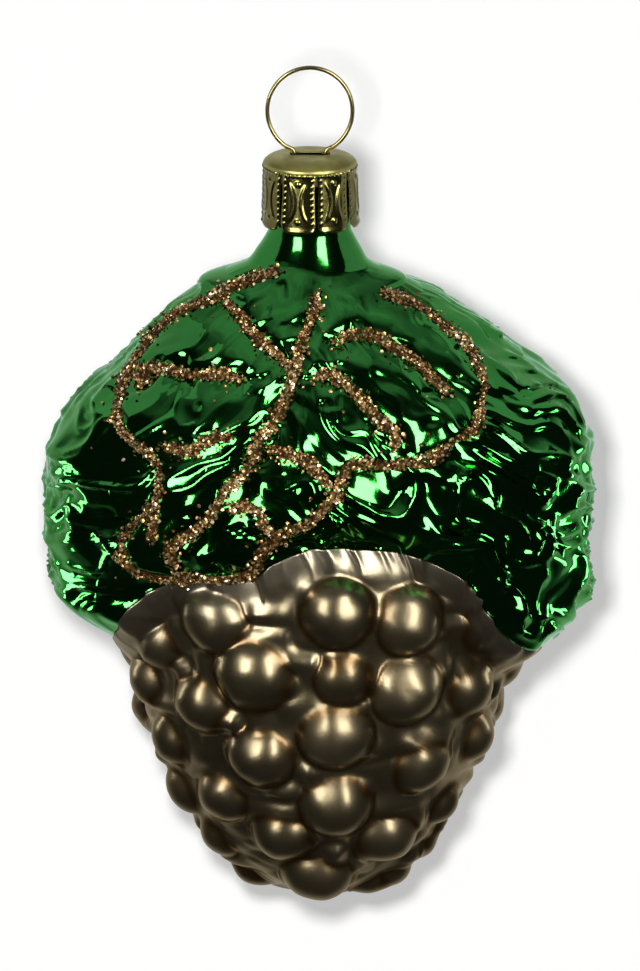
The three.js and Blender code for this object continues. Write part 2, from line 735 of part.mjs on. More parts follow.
// Wire hanger: an oval ring whose ends pass the slot and spread as two legs inside the neck
function makeHanger() {
  const tip = boreRadius - LEG_GAP - WIRE / 2;
  const half = [
    [tip, capTop - LEG_DEPTH],
    [tip, capTop - (LEG_KNEE + LEG_DEPTH) / 2],
    [tip, capTop - LEG_KNEE],
    [(tip + WAIST / 2) / 2, capTop - LEG_KNEE / 2],
    ...LEG_NIP.map(([nip, depth]) => [WAIST / 2 - nip, capTop - depth]),
  ];
  const start = Math.asin(waistShare);
  const turns = Array.from({ length: RING_POINTS }, (_, i) => start + ((Math.PI - start) * i) / RING_POINTS);
  const arc = turns.map((turn) => [
    ringHalfWidth * Math.sin(turn),
    ringCentre - ringHalfHeight * Math.cos(turn),
  ]);
  const right = [...half, ...arc];
  const left = right.map(([x, z]) => [-x, z]).reverse();
  const route = [...right, [0, ringCentre + ringHalfHeight], ...left];
  const bends = route.map(([x, z]) => new THREE.Vector3(x, 0, z));
  const extrudePath = new THREE.CatmullRomCurve3(bends, false, "centripetal");
  const section = new THREE.Shape();
  section.absarc(0, 0, WIRE / 2, 0, 2 * Math.PI);
  const facets = { steps: WIRE_STEPS, curveSegments: WIRE_SIDES / 2 };
  return new THREE.ExtrudeGeometry(section, { ...facets, extrudePath });
}
addPiece("wire_hanger", makeHanger(), 0xb59a4a, 0.25, 1);

export default ornament;
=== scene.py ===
# %% [markdown]
# # A blown glass bunch of grapes under a lacquered leaf
# The ornament is one hollow piece of silvered glass. Its upper half is a leaf that hangs over the
# bunch like a hood and wears glossy green lacquer. Its lower half, the grapes, wears a satin
# champagne film. Glue with copper glitter runs along the leaf, a pressed crown cap grips the neck,
# and a sprung wire loop hangs it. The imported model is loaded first. It never moves, and every
# piece made here is laid over the node that it stands for.
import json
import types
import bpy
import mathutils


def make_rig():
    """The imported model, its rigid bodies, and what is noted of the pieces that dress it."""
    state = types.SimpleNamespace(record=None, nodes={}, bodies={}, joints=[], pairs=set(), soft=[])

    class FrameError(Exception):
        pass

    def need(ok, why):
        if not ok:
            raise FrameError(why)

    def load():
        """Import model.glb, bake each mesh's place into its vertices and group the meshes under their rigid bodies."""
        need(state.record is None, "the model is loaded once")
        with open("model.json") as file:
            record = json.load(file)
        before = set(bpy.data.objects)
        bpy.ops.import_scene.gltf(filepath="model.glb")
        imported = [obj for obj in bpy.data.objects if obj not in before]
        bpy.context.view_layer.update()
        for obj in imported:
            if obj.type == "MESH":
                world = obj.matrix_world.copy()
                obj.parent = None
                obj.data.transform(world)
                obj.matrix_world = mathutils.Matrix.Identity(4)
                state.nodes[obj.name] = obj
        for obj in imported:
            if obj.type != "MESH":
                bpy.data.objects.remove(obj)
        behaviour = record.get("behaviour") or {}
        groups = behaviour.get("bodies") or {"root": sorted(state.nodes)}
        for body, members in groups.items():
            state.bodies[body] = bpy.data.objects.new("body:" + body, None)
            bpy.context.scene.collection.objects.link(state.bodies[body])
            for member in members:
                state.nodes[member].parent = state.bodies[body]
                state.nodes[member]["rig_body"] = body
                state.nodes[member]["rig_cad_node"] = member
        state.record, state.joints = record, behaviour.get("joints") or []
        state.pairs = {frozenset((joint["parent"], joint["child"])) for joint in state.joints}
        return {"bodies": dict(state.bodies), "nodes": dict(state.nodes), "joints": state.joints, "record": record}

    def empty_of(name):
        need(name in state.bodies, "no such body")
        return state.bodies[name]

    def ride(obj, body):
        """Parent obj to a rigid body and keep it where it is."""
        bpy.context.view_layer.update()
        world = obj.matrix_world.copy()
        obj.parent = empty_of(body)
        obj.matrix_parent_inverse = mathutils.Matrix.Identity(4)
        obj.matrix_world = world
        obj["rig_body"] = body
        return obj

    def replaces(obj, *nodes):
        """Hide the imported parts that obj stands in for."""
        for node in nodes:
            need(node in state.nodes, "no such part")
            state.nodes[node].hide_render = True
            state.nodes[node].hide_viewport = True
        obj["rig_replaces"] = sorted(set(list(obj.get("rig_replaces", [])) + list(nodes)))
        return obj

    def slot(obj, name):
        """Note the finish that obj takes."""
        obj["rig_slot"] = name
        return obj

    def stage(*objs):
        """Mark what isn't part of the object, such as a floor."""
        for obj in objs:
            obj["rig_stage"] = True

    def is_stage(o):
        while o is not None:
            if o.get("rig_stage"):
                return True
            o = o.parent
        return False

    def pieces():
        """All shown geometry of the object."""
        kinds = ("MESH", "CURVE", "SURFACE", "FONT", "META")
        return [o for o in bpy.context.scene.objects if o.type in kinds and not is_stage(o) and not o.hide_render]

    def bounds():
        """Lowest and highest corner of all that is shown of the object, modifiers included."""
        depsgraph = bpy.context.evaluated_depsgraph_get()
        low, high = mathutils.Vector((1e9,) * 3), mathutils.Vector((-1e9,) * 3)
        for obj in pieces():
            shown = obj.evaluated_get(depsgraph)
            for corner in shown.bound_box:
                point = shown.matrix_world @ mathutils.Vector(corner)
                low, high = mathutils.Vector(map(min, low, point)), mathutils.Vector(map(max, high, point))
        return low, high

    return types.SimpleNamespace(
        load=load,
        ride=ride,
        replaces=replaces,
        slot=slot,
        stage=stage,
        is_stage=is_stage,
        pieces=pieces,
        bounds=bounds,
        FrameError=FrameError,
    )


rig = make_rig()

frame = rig.load()

import json
import math

import bpy
import numpy as np

CAD_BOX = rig.bounds()
MM = 0.001
rng = np.random.default_rng(20)
print("bodies:", sorted(frame["bodies"]), "nodes:", len(frame["nodes"]))

# %% [markdown]
# ## The camera
# For its picture the ornament lay on its back, on the bulge of its hood and on its lowest grapes.
# Seen in its own upright frame, the camera therefore looks down by 16 degrees. A long lens from
# far away keeps the lines nearly parallel.

# %% Camera
VIEW_TILT = math.radians(16)
VIEW_WIDTH = 76.8
VIEW_HEIGHT = 116.5
CAMERA_AWAY = 1500.0
TARGET = np.array([1.2, 0.0, -51.4])
TOWARDS = np.array([0.0, math.cos(VIEW_TILT), -math.sin(VIEW_TILT)])


def add_camera():
    """A camera CAMERA_AWAY from the target, against the direction of view, that frames VIEW_HEIGHT."""
    lens = bpy.data.cameras.new("camera")
    lens.sensor_width = 36.0
    lens.lens = CAMERA_AWAY * lens.sensor_width / VIEW_HEIGHT
    lens.clip_start = 0.1
    camera = bpy.data.objects.new("camera", lens)
    camera.location = (TARGET - CAMERA_AWAY * TOWARDS) * MM
    camera.rotation_euler = (math.pi / 2 - VIEW_TILT, 0, 0)
    bpy.context.scene.collection.objects.link(camera)
    bpy.context.scene.camera = camera
    return camera


camera = add_camera()
print("camera at", [round(v, 3) for v in camera.location])

# %% [markdown]
# ## Turning grids of points into pieces
# Every piece is a surface over two parameters: rings of points down its length, each ring with the
# same number of columns. Neighbouring rings are joined by four-sided faces, and a pole closes an
# end with triangles. Going down the rings and round to the right gives faces that point outwards.

# %% Grids and meshes
def band_faces(rings, columns, first=0, wrap=True, round_rows=False):
    """Four corners of each face between neighbouring rings. The columns wrap round, the rings may."""
    rows = np.arange(rings if round_rows else rings - 1)[:, None]
    cols = np.arange(columns if wrap else columns - 1)[None, :]
    below = (rows + 1) % rings
    right = (cols + 1) % columns
    corners = [rows * columns + cols, below * columns + cols, below * columns + right, rows * columns + right]
    return first + np.stack(corners, -1).reshape(-1, 4)


def pole_faces(ring_start, columns, pole, at_end):
    """Triangles between a ring and a pole above it, or below it when at_end is true."""
    here = ring_start + np.arange(columns)
    right = ring_start + (np.arange(columns) + 1) % columns
    tip = np.full(columns, pole)
    return np.stack([here, tip, right] if at_end else [tip, here, right], -1)


def closed_skin(rings, poles):
    """Points and faces of a skin through rings (rows, columns, 3) with a pole above and one below."""
    rows, columns, _ = rings.shape
    points = np.concatenate([rings.reshape(-1, 3), np.asarray(poles, float)])
    faces = [
        band_faces(rows, columns),
        pole_faces(0, columns, rows * columns, False),
        pole_faces((rows - 1) * columns, columns, rows * columns + 1, True),
    ]
    return points, faces


def make_mesh(name, points, faces):
    """A smooth mesh from points in millimetres and a list of arrays of corners."""
    mesh = bpy.data.meshes.new(name)
    corners = np.concatenate([part.ravel() for part in faces]).astype(np.int32)
    sizes = np.concatenate([np.full(len(part), part.shape[1]) for part in faces])
    starts = np.concatenate([[0], np.cumsum(sizes)[:-1]]).astype(np.int32)
    mesh.vertices.add(len(points))
    mesh.vertices.foreach_set("co", (points * MM).astype(np.float32).ravel())
    mesh.loops.add(len(corners))
    mesh.loops.foreach_set("vertex_index", corners)
    mesh.polygons.add(len(starts))
    mesh.polygons.foreach_set("loop_start", starts)
    mesh.update(calc_edges=True)
    mesh.validate()
    mesh.shade_smooth()
    return mesh


def add_values(mesh, name, values):
    """A number for each point, which a material can read by its name."""
    mesh.attributes.new(name, "FLOAT", "POINT").data.foreach_set("value", values.astype(np.float32))


def add_piece(mesh, materials, body, slot, *nodes):
    """An object at the origin that rides on a body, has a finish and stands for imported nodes."""
    piece = bpy.data.objects.new(mesh.name, mesh)
    bpy.context.scene.collection.objects.link(piece)
    for material in materials:
        mesh.materials.append(material)
    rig.ride(piece, body)
    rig.slot(piece, slot)
    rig.replaces(piece, *nodes)
    triangles = sum(len(p.vertices) - 2 for p in mesh.polygons)
    print(f"{mesh.name}: {len(mesh.vertices)} points, {triangles} triangles")
    return piece


# %% [markdown]
# ## Helpers for shape
# Three small tools shape everything: a curve through a table of measurements that never
# overshoots, a distance to a drawn line, and a smooth random height made from a lattice of
# random numbers. The random heights are seeded, so every run gives the same glass.

# %% Curves, distances and noise
def smooth(t):
    """Rises from 0 to 1 with level ends: three t squared less two t cubed."""
    t = np.clip(t, 0, 1)
    return t * t * (3 - 2 * t)


def through_rows(table, position):
    """Values at a position along the first column, by a monotone cubic through the rows."""
    keys = np.asarray(table, float)
    at, values = keys[:, 0], keys[:, 1:]
    slope = np.diff(values, axis=0) / np.diff(at)[:, None]
    up, down = slope[:-1], slope[1:]
    total = np.where(up * down > 0, up + down, 1)
    tangent = np.zeros_like(values)
    tangent[1:-1] = np.where(up * down > 0, 2 * up * down / total, 0)
    position = np.clip(position, at[0], at[-1])
    i = np.clip(np.searchsorted(at, position, side="right") - 1, 0, len(at) - 2)
    span = (at[i + 1] - at[i])[..., None]
    t = (position - at[i])[..., None] / span
    bend = values[i] + (values[i + 1] - values[i]) * smooth(t)
    return bend + tangent[i] * span * t * (1 - t) ** 2 + tangent[i + 1] * span * t * t * (t - 1)


def line_distance(x, y, line, closed=False):
    """Least distance from points to a line of straight spans."""
    ends = np.asarray(line, float)
    starts, stops = (ends, np.roll(ends, -1, 0)) if closed else (ends[:-1], ends[1:])
    least = np.full(np.shape(x), np.inf)
    for (ax, ay), (bx, by) in zip(starts, stops):
        share = ((x - ax) * (bx - ax) + (y - ay) * (by - ay)) / ((bx - ax) ** 2 + (by - ay) ** 2)
        share = np.clip(share, 0, 1)
        least = np.minimum(least, np.hypot(x - ax - share * (bx - ax), y - ay - share * (by - ay)))
    return least


def is_inside(x, y, outline):
    """True where a level line from the point crosses the outline an odd number of times."""
    inside = np.zeros(np.shape(x), bool)
    ends = np.asarray(outline, float)
    for (ax, ay), (bx, by) in zip(ends, np.roll(ends, -1, 0)):
        crosses = (ay > y) != (by > y)
        slope = (bx - ax) / (by - ay) if by != ay else 0.0
        inside ^= crosses & (x < ax + slope * (y - ay))
    return inside


LATTICE = np.random.default_rng(7).uniform(-1, 1, (8, 256, 256))


def noise(u, v, seed=0):
    """Random height from -1 to 1: lattice numbers blended between their four neighbours."""
    grid = LATTICE[seed % 8]
    iu, iv = np.floor(u).astype(int), np.floor(v).astype(int)
    fu, fv = smooth(u - iu), smooth(v - iv)
    a, b = iu & 255, (iu + 1) & 255
    c, d = iv & 255, (iv + 1) & 255
    low = grid[a, c] * (1 - fu) + grid[b, c] * fu
    high = grid[a, d] * (1 - fu) + grid[b, d] * fu
    return low * (1 - fv) + high * fv


def folds(u, v, across, along, seed):
    """Creased folds that run along u: a sharp-edged ridge wherever the noise crosses zero."""
    bend = 0.6 * noise(u / along / 1.7 + 11, v / across / 3, seed + 1)
    ridge = 1 - np.abs(noise(u / along, v / across + bend, seed))
    return ridge**3


# %% [markdown]
# ## Measurements of the glass
# The levels run down from the inside top of the wire ring. The hood's table gives its reach to the
# left, right, front and back at each drop below the petal tips of the cap. The leaf and its trails
# are drawn as the camera sees them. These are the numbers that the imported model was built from.

# %% Levels of the ring, cap, neck and hood
WIRE = 0.5
RING_HALF_WIDTH = 5.07
RING_HALF_HEIGHT = 5.27
RING_CENTRE = WIRE / 2 - RING_HALF_HEIGHT
WAIST = 3.9
CAP_TOP = RING_CENTRE - RING_HALF_HEIGHT * math.sqrt(1 - (WAIST / 2 / RING_HALF_WIDTH) ** 2)
SHOULDER_DROP = 1.45
PETAL_HEAD = CAP_TOP - SHOULDER_DROP
PETAL_LENGTH = 7.0
HOOD_TOP = PETAL_HEAD - PETAL_LENGTH
NECK_RADIUS = 4.7
RIM_RADIUS = 5.72
GLASS = 0.8
MOUTH = -11.62

HOOD = [
    [-8, 4.7, 4.7, 4.7, 4.7],
    [1, 4.8, 4.8, 4.8, 4.8],
    [2, 5.2, 5.2, 5.15, 5.1],
    [3.5, 6.15, 6, 5.9, 5.75],
    [5.6, 7.8, 7.2, 7.2, 6.7],
    [7.3, 12, 9.8, 8.8, 8],
    [9, 13.8, 15.2, 10.9, 9.8],
    [11.2, 16.4, 17.9, 13.5, 12.6],
    [13.6, 18.9, 21.4, 16.1, 16],
    [18, 23, 26.7, 19.4, 19.7],
    [22.6, 28, 31.7, 22.2, 22.9],
    [26.6, 30.6, 33.3, 23.9, 25],
    [31.6, 31.4, 33.5, 24.6, 25.8],
    [36.7, 31.5, 33.5, 24.6, 25.8],
    [41.7, 31.4, 33.6, 24.2, 25.4],
    [44.8, 30.6, 33.5, 23.8, 25],
    [47.6, 27.9, 32.6, 23.4, 24.5],
    [50.2, 24.6, 30.4, 23, 24],
    [52.6, 22.8, 27.2, 22.4, 23.4],
]
HOOD_EDGE = [
    [-150, 39.5],
    [-120, 44.5],
    [-90, 51.4],
    [-72, 49.6],
    [-58, 46.6],
    [-48, 41.6],
    [-35, 39.3],
    [-18, 38.6],
    [-10, 36.2],
    [3, 34.6],
    [24, 35.2],
    [36, 37.2],
    [46, 40.8],
    [54, 46.2],
    [66, 50.2],
    [90, 51.9],
    [120, 45.5],
    [150, 40],
    [180, 37.5],
]
LEAF_OUTLINE = [
    [-1, 7.2], [-4, 6.4], [-10.1, 8.7], [-17.5, 12.4], [-21.5, 17.6], [-23, 23.7], [-21, 26.8],
    [-18.1, 29.6], [-18.4, 34.4], [-22.3, 38.5], [-21.1, 42.2], [-16.7, 43.5], [-11, 43.4],
    [-7, 42], [-4.4, 38.5], [-0.1, 36.3], [2.8, 33.7], [4.6, 29.5], [11, 29.4], [16.4, 27.1],
    [19.8, 24.7], [20.8, 20.5], [19.2, 15.8], [12.5, 10.1], [8.3, 8.9], [4, 8.5],
]
VEINS = [
    [[1, 8.4], [0.4, 11.8], [-1.2, 15.4], [-2, 19], [-4.2, 24.4], [-7.6, 30.3], [-12, 35.6], [-16.6, 41.2]],
    [[-10.4, 10.1], [-7.3, 13.4], [-5.8, 14.9], [-2.4, 18.2]],
    [[-20, 19.6], [-18, 17.8], [-15.6, 18.7], [-8.4, 19.4]],
    [[2.8, 15.1], [6, 14], [11.3, 16.3], [16.4, 21.1]],
    [[0.8, 19.4], [3.3, 18.9], [6.4, 22], [10.2, 27]],
]
print(f"cap top {CAP_TOP:.2f} mm, petal tips {HOOD_TOP:.2f} mm")

# %% [markdown]
# ## The leaf hood
# A ring of the hood is an oval with its own reach to each side. On it the leaf stands proud, with
# its veins sunk in, and the glass between is crumpled as a mould leaves it: diagonal creases on the
# right, wide folds that run out to the left, and fine ribs on the leaf's fields. The rear wasn't
# seen, so it carries the same leaf turned half a turn.

# %% Surface of the hood
LEAF_RISE = 1.1
LEAF_EDGE = 2.0
VEIN_DEPTH = 0.8
VEIN_WIDTH = 1.5
LEAF_BLEND = 0.6
LEAF_LIFT = 0.9
FOLD_PITCH = 8.6
FOLD_HEIGHT = 0.45
FOLD_REACH = 27.0
EDGE_ROUND = [[a + turn, d] for turn in (-360, 0, 360) for a, d in HOOD_EDGE]


def oval(azimuth, left, right, front, back):
    """Radius of an oval: one over the length of (sine over reach sideways, cosine over reach ahead)."""
    s, c = np.sin(azimuth), np.cos(azimuth)
    return 1 / np.hypot(s / np.where(s > 0, right, left), c / np.where(c > 0, front, back))


def plain_edge(azimuth):
    """Drop of the hood's lower edge, through the measured rows."""
    return through_rows(EDGE_ROUND, np.degrees(azimuth))[..., 0]


def hood_edge(azimuth):
    """Drop of the lacquer's border: the plain edge with the small wander of a brush."""
    degrees = np.degrees(azimuth)
    return plain_edge(azimuth) + 0.3 * noise(degrees / 9 + 60, degrees * 0 + 3.5, 2) - 0.15


def hood_radius(azimuth, drop):
    """Reach of the plain hood in the direction of the azimuth."""
    return oval(azimuth, *np.moveaxis(through_rows(HOOD, drop), -1, 0))


def view_drop(y, z):
    """How far below the petal tips the camera sees a point."""
    return -(z - HOOD_TOP) * math.cos(VIEW_TILT) - y * math.sin(VIEW_TILT)


def leaf_height(x, view):
    """The leaf's plateau with a soft edge, less a groove along each vein, and puffed fields."""
    reach = line_distance(x, view, LEAF_OUTLINE, closed=True)
    signed = np.where(is_inside(x, view, LEAF_OUTLINE), reach, -reach)
    plateau = smooth(signed / LEAF_EDGE + 0.5)
    vein = np.min([line_distance(x, view, line) for line in VEINS], axis=0)
    groove = VEIN_DEPTH * np.exp(-((vein / VEIN_WIDTH) ** 2))
    puff = 0.4 * smooth(vein / 3.5) * smooth(signed / 4)
    left = smooth((0.3 - 0.3 * (view - 10) - x) / 2 + 0.5)
    ribs = 0.0
    bent_x, bent_view = x + 1.4 * noise(x / 3.5, view / 3.5, 2), view + 1.4 * noise(x / 3.5 + 50, view / 3.5, 7)
    for share, lean, seed in ((left, -0.55, 3), (1 - left, 0.75, 5)):
        u = bent_x * np.cos(lean) + bent_view * np.sin(lean)
        v = bent_view * np.cos(lean) - bent_x * np.sin(lean)
        ribs = ribs + share * (0.42 * folds(u, v, 1.9, 7, seed) + 0.13 * noise(u / 3, v / 0.8, seed + 1))
    calm = 0.75 + 0.25 * smooth((view - 13) / 6)
    ribs = 1.1 * ribs + 0.35 * noise(x / 4 + 7, view / 3.2, 0)
    dimple = -0.3 * smooth((noise(x / 1.6 + 5, view / 1.6, 6) - 0.6) / 0.3)
    return plateau * (LEAF_RISE + puff - groove) + smooth(signed / 1.5 + 0.3) * calm * (ribs - 0.15 + dimple)


def main_folds(azimuth, drop):
    """Wide folds, sines FOLD_PITCH apart: they slant down to the right on the right lobe and run
    level on the left one, and start below the shoulder."""
    s = FOLD_REACH * azimuth
    right = np.sin(2 * np.pi * (0.8 * drop - 0.6 * s) / FOLD_PITCH + 1.1 * np.sin(s / 7))
    left = np.sin(2 * np.pi * (drop + 0.12 * s) / FOLD_PITCH + 0.9 * np.sin(s / 9) + 2)
    side = smooth(np.sin(azimuth) * 1.5 + 0.5)
    return FOLD_HEIGHT * smooth((drop - 8) / 8) * (side * right + (1 - side) * left)


def fine_folds(azimuth, drop):
    """Creases between the wide folds: close and slanting on the right, broader and level on the left."""
    side = smooth(np.sin(azimuth) * 1.5 + 0.5)
    s = FOLD_REACH * azimuth
    s, drop_here = s + 2.6 * noise(s / 5.5, drop / 5, 1), drop
    drop = drop + 2.0 * noise(s / 5 + 30, drop / 4.5, 5)
    u, v = 0.8 * s + 0.6 * drop, 0.8 * drop - 0.6 * s
    right = 0.95 * folds(u, v, 2.0, 5, 0) + 0.3 * noise(u / 2.4, v / 1.2, 4)
    fan = drop + 0.12 * s
    left = 0.85 * folds(s, fan, 2.8, 10, 2) + 0.35 * folds(s + 40, fan + 0.25 * s, 1.4, 5, 6)
    lump = 0.3 * noise(s / 3, drop / 3, 7)
    return smooth((drop_here - 6) / 7) * (side * right + (1 - side) * left - 0.3 + lump)


KNUCKLES = [(-80, 7.0, 1.3, 0.9), (-80, 10.3, 0.8, 1.2), (80, 6.8, 2.4, 0.9), (80, 12.0, 0.6, 1.2)]


def knuckles(azimuth, drop):
    """Lumps on the shoulder: a bell curve down its side and round to a third of a turn."""
    out = 0
    for degrees, level, height, deep in KNUCKLES:
        round_share = np.exp(-((np.degrees(azimuth) - degrees) / 35) ** 2)
        out = out + height * round_share * np.exp(-(((drop - level) / deep) ** 2))
    return out


def hood_relief(azimuth, drop, x, y, z, base):
    """Leaf and folds on the front, and the same turned half a turn at the rear, blended between."""
    front = smooth(0.5 - y / base / LEAF_BLEND)
    lift = 1 + LEAF_LIFT / base
    out = 0
    for share, turn, sign in ((front, 0.0, 1), (1 - front, math.pi, -1)):
        view = view_drop(sign * y * lift, z)
        leaf = leaf_height(sign * x * lift, view)
        off_leaf = 1 - smooth(leaf / 0.9)
        turned = (azimuth + turn + math.pi) % (2 * math.pi) - math.pi
        out = out + share * (leaf + off_leaf * (main_folds(turned, drop) + fine_folds(turned, drop)))
    return out


def hood_point(azimuth, drop):
    """A point of the glass hood, (radius sin azimuth, -radius cos azimuth, level)."""
    azimuth, drop = np.broadcast_arrays(azimuth, drop)
    base = hood_radius(azimuth, drop)
    x, y, z = base * np.sin(azimuth), -base * np.cos(azimuth), HOOD_TOP - drop
    radius = base + hood_relief(azimuth, drop, x, y, z, base) + knuckles(azimuth, drop)
    tuck = smooth(1 - (hood_edge(azimuth) - drop) / 4.5) * smooth(np.cos(azimuth) * 2 - 0.6)
    radius = radius - 2.3 * tuck
    return np.stack([radius * np.sin(azimuth), -radius * np.cos(azimuth), z], -1)


def outward(rings):
    """Unit normals of a grid of rings: the step down crossed with the step to the right."""
    down = np.gradient(rings, axis=0)
    across = np.roll(rings, -1, 1) - np.roll(rings, 1, 1)
    normal = np.cross(down, across)
    return normal / np.maximum(np.linalg.norm(normal, axis=-1, keepdims=True), 1e-9)


def crowd(columns, share=0.3):
    """Azimuths round the object that draw together at the front by the given share."""
    even = np.arange(columns) / columns * 2 * np.pi - np.pi
    return even - share * np.sin(even)


COLUMNS = 400
azimuths = crowd(COLUMNS)
edge = hood_edge(azimuths)
print(f"lacquer border from {edge.min():.1f} to {edge.max():.1f} mm below the petal tips")

# %% [markdown]
# ## Finishes of the glass
# Silvered glass is a mirror, and clear lacquer on it gives a metal its colour and keeps a second,
# white gloss on top, so both films are a coloured metal under a clear coat. The green is nearly
# free of haze. The champagne film is satin, and thin darker amber lines are painted into its creases as shade.

# %% Node helpers
def new_material(name):
    """A material with its nodes cleared except for the shader and the output."""
    material = bpy.data.materials.new(name)
    material.use_nodes = True
    shader = material.node_tree.nodes["Principled BSDF"]
    return material, material.node_tree, shader


def add_node(tree, kind, settings=None, **links):
    """A node with its settings and its named inputs, each a number, a colour or another's output."""
    node = tree.nodes.new(kind)
    for key, value in (settings or {}).items():
        setattr(node, key, value)
    for key, value in links.items():
        socket = node.inputs[int(key[1:])] if key[0] == "i" and key[1:].isdigit() else node.inputs[key]
        if isinstance(value, bpy.types.NodeSocket):
            tree.links.new(value, socket)
        else:
            socket.default_value = value
    return node


def noise_of(tree, place, scale, detail=3.0, stretch=(1, 1, 1)):
    """A noise over the object, which may be stretched along its axes."""
    moved = add_node(tree, "ShaderNodeMapping", Vector=place, Scale=stretch)
    return add_node(tree, "ShaderNodeTexNoise", None, Vector=moved.outputs[0], Scale=scale, Detail=detail)


def ramp_of(tree, factor, stops):
    """Colours by position: stops are (position, colour)."""
    node = add_node(tree, "ShaderNodeValToRGB", None, i0=factor)
    node.color_ramp.elements[0].position, node.color_ramp.elements[0].color = stops[0][0], (*stops[0][1], 1)
    node.color_ramp.elements[1].position, node.color_ramp.elements[1].color = stops[-1][0], (*stops[-1][1], 1)
    for position, colour in stops[1:-1]:
        node.color_ramp.elements.new(position).color = (*colour, 1)
    return node.outputs["Color"]


def object_place(tree):
    return add_node(tree, "ShaderNodeTexCoord").outputs["Object"]


def attribute_of(tree, name):
    return add_node(tree, "ShaderNodeAttribute", {"attribute_name": name}).outputs["Fac"]


# %% Green lacquer
def green_lacquer():
    """Mirror under clear green: slightly uneven depth of colour, streaks of the dip, a clear coat."""
    material, tree, shader = new_material("green_lacquer")
    place = object_place(tree)
    pool = noise_of(tree, place, 90, 4, (1, 1, 0.6))
    tint = [(0.3, (0.012, 0.17, 0.016)), (0.55, (0.020, 0.24, 0.028)), (0.8, (0.034, 0.31, 0.05))]
    tree.links.new(ramp_of(tree, pool.outputs["Fac"], tint), shader.inputs["Base Color"])
    streak = noise_of(tree, place, 420, 5, (1, 1, 0.35))
    bump = add_node(tree, "ShaderNodeBump", None, Strength=0.12, Distance=0.0003, Height=streak.outputs["Fac"])
    tree.links.new(bump.outputs["Normal"], shader.inputs["Normal"])
    shader.inputs["Metallic"].default_value = 1.0
    shader.inputs["Roughness"].default_value = 0.09
    shader.inputs["Specular Tint"].default_value = (0.15, 0.75, 0.3, 1)
    shader.inputs["Coat Weight"].default_value = 0.55
    shader.inputs["Coat Roughness"].default_value = 0.03
    return material


# %% Champagne film
def champagne_film():
    """Satin metal: mottled champagne, a darker brown painted as shade where the balls meet, clear silver where the
    neck is bare.
    """
    material, tree, shader = new_material("champagne_film")
    place = object_place(tree)
    mottle = noise_of(tree, place, 160, 5)
    body = ramp_of(tree, mottle.outputs["Fac"], [(0.3, (0.108, 0.087, 0.048)), (0.7, (0.196, 0.160, 0.096))])
    # Painted shade: the film turns a darker amber where balls meet each other and the lumps between them. The share
    # comes from grape_height, and the amber colour below is that painted shade.
    crease = attribute_of(tree, "crease")
    amber = add_node(tree, "ShaderNodeMix", {"data_type": "RGBA"}, Factor=crease)
    tree.links.new(body, amber.inputs[6])
    amber.inputs[7].default_value = (0.085, 0.048, 0.016, 1)
    silver = add_node(tree, "ShaderNodeMix", {"data_type": "RGBA"}, Factor=attribute_of(tree, "bare"))
    tree.links.new(amber.outputs[2], silver.inputs[6])
    silver.inputs[7].default_value = (0.78, 0.76, 0.70, 1)
    tree.links.new(silver.outputs[2], shader.inputs["Base Color"])
    grain = noise_of(tree, place, 900, 4)
    bump = add_node(tree, "ShaderNodeBump", None, Strength=0.12, Distance=0.0002, Height=grain.outputs["Fac"])
    tree.links.new(bump.outputs["Normal"], shader.inputs["Normal"])
    cloud = noise_of(tree, place, 60, 3)
    haze = add_node(tree, "ShaderNodeMapRange", None, i0=cloud.outputs["Fac"], i1=0.3, i2=0.7, i3=0.27, i4=0.39)
    tree.links.new(haze.outputs[0], shader.inputs["Roughness"])
    shader.inputs["Metallic"].default_value = 0.93
    shader.inputs["Specular Tint"].default_value = (0.75, 0.65, 0.45, 1)
    shader.inputs["Coat Weight"].default_value = 0.2
    shader.inputs["Coat Roughness"].default_value = 0.15
    return material


GREEN = green_lacquer()
CHAMPAGNE = champagne_film()
print("finishes:", GREEN.name, CHAMPAGNE.name)

# %% [markdown]
# ## The green lacquer on leaf and neck
# The lacquer is a skin with an outer side, which shows every fold, and a coarser inner side that
# faces the glass. Both share their columns, so the two borders meet without a gap.

# %% Lacquer skin
MOUTH_DROP = HOOD_TOP - MOUTH
LACQUER_START = MOUTH_DROP + 1.5
OUTER_ROWS = 190
INNER_ROWS = 30
SHOULDER_SHARE = 0.24


def hood_drops(azimuth, start, rows):
    """Drops down a column: a share of the rows for neck and shoulder, the rest down to the border."""
    down_neck = int(rows * SHOULDER_SHARE)
    neck = np.linspace(start, 9.0, down_neck, endpoint=False)[:, None] + 0 * azimuth
    t = np.linspace(0, 1, rows - down_neck)[:, None]
    return np.concatenate([neck, 9.0 + t * (hood_edge(azimuth) - 9.0)])


def hood_rings(start, rows, out, short=0.0):
    """Rings of the hood moved out along the normal, from a drop on the neck to the border."""
    drops = hood_drops(azimuths, start, rows)
    drops = np.minimum(drops, hood_edge(azimuths) - short)
    rings = hood_point(azimuths[None, :], drops)
    return rings + out * outward(hood_point(azimuths[None, :], hood_drops(azimuths, start, rows)))


def lacquer_mesh():
    outer = hood_rings(LACQUER_START, OUTER_ROWS, 0.12)
    inner = hood_rings(LACQUER_START, INNER_ROWS, -0.12)[::-1]
    loop = np.concatenate([outer, inner])
    faces = [band_faces(len(loop), COLUMNS, round_rows=True)]
    return make_mesh("leaf_green", loop.reshape(-1, 3), faces)


green = add_piece(lacquer_mesh(), [GREEN], "glass", "green_lacquer", "leaf_lacquer")

# %% [markdown]
# ## The bunch of grapes
# Under the hood sits a half ellipsoid, and every grape is a ball set in it. From each point of the
# ellipsoid a ray runs outwards along the normal, and the farthest ball that it leaves gives the
# height there. A soft maximum rounds the creases where balls meet.

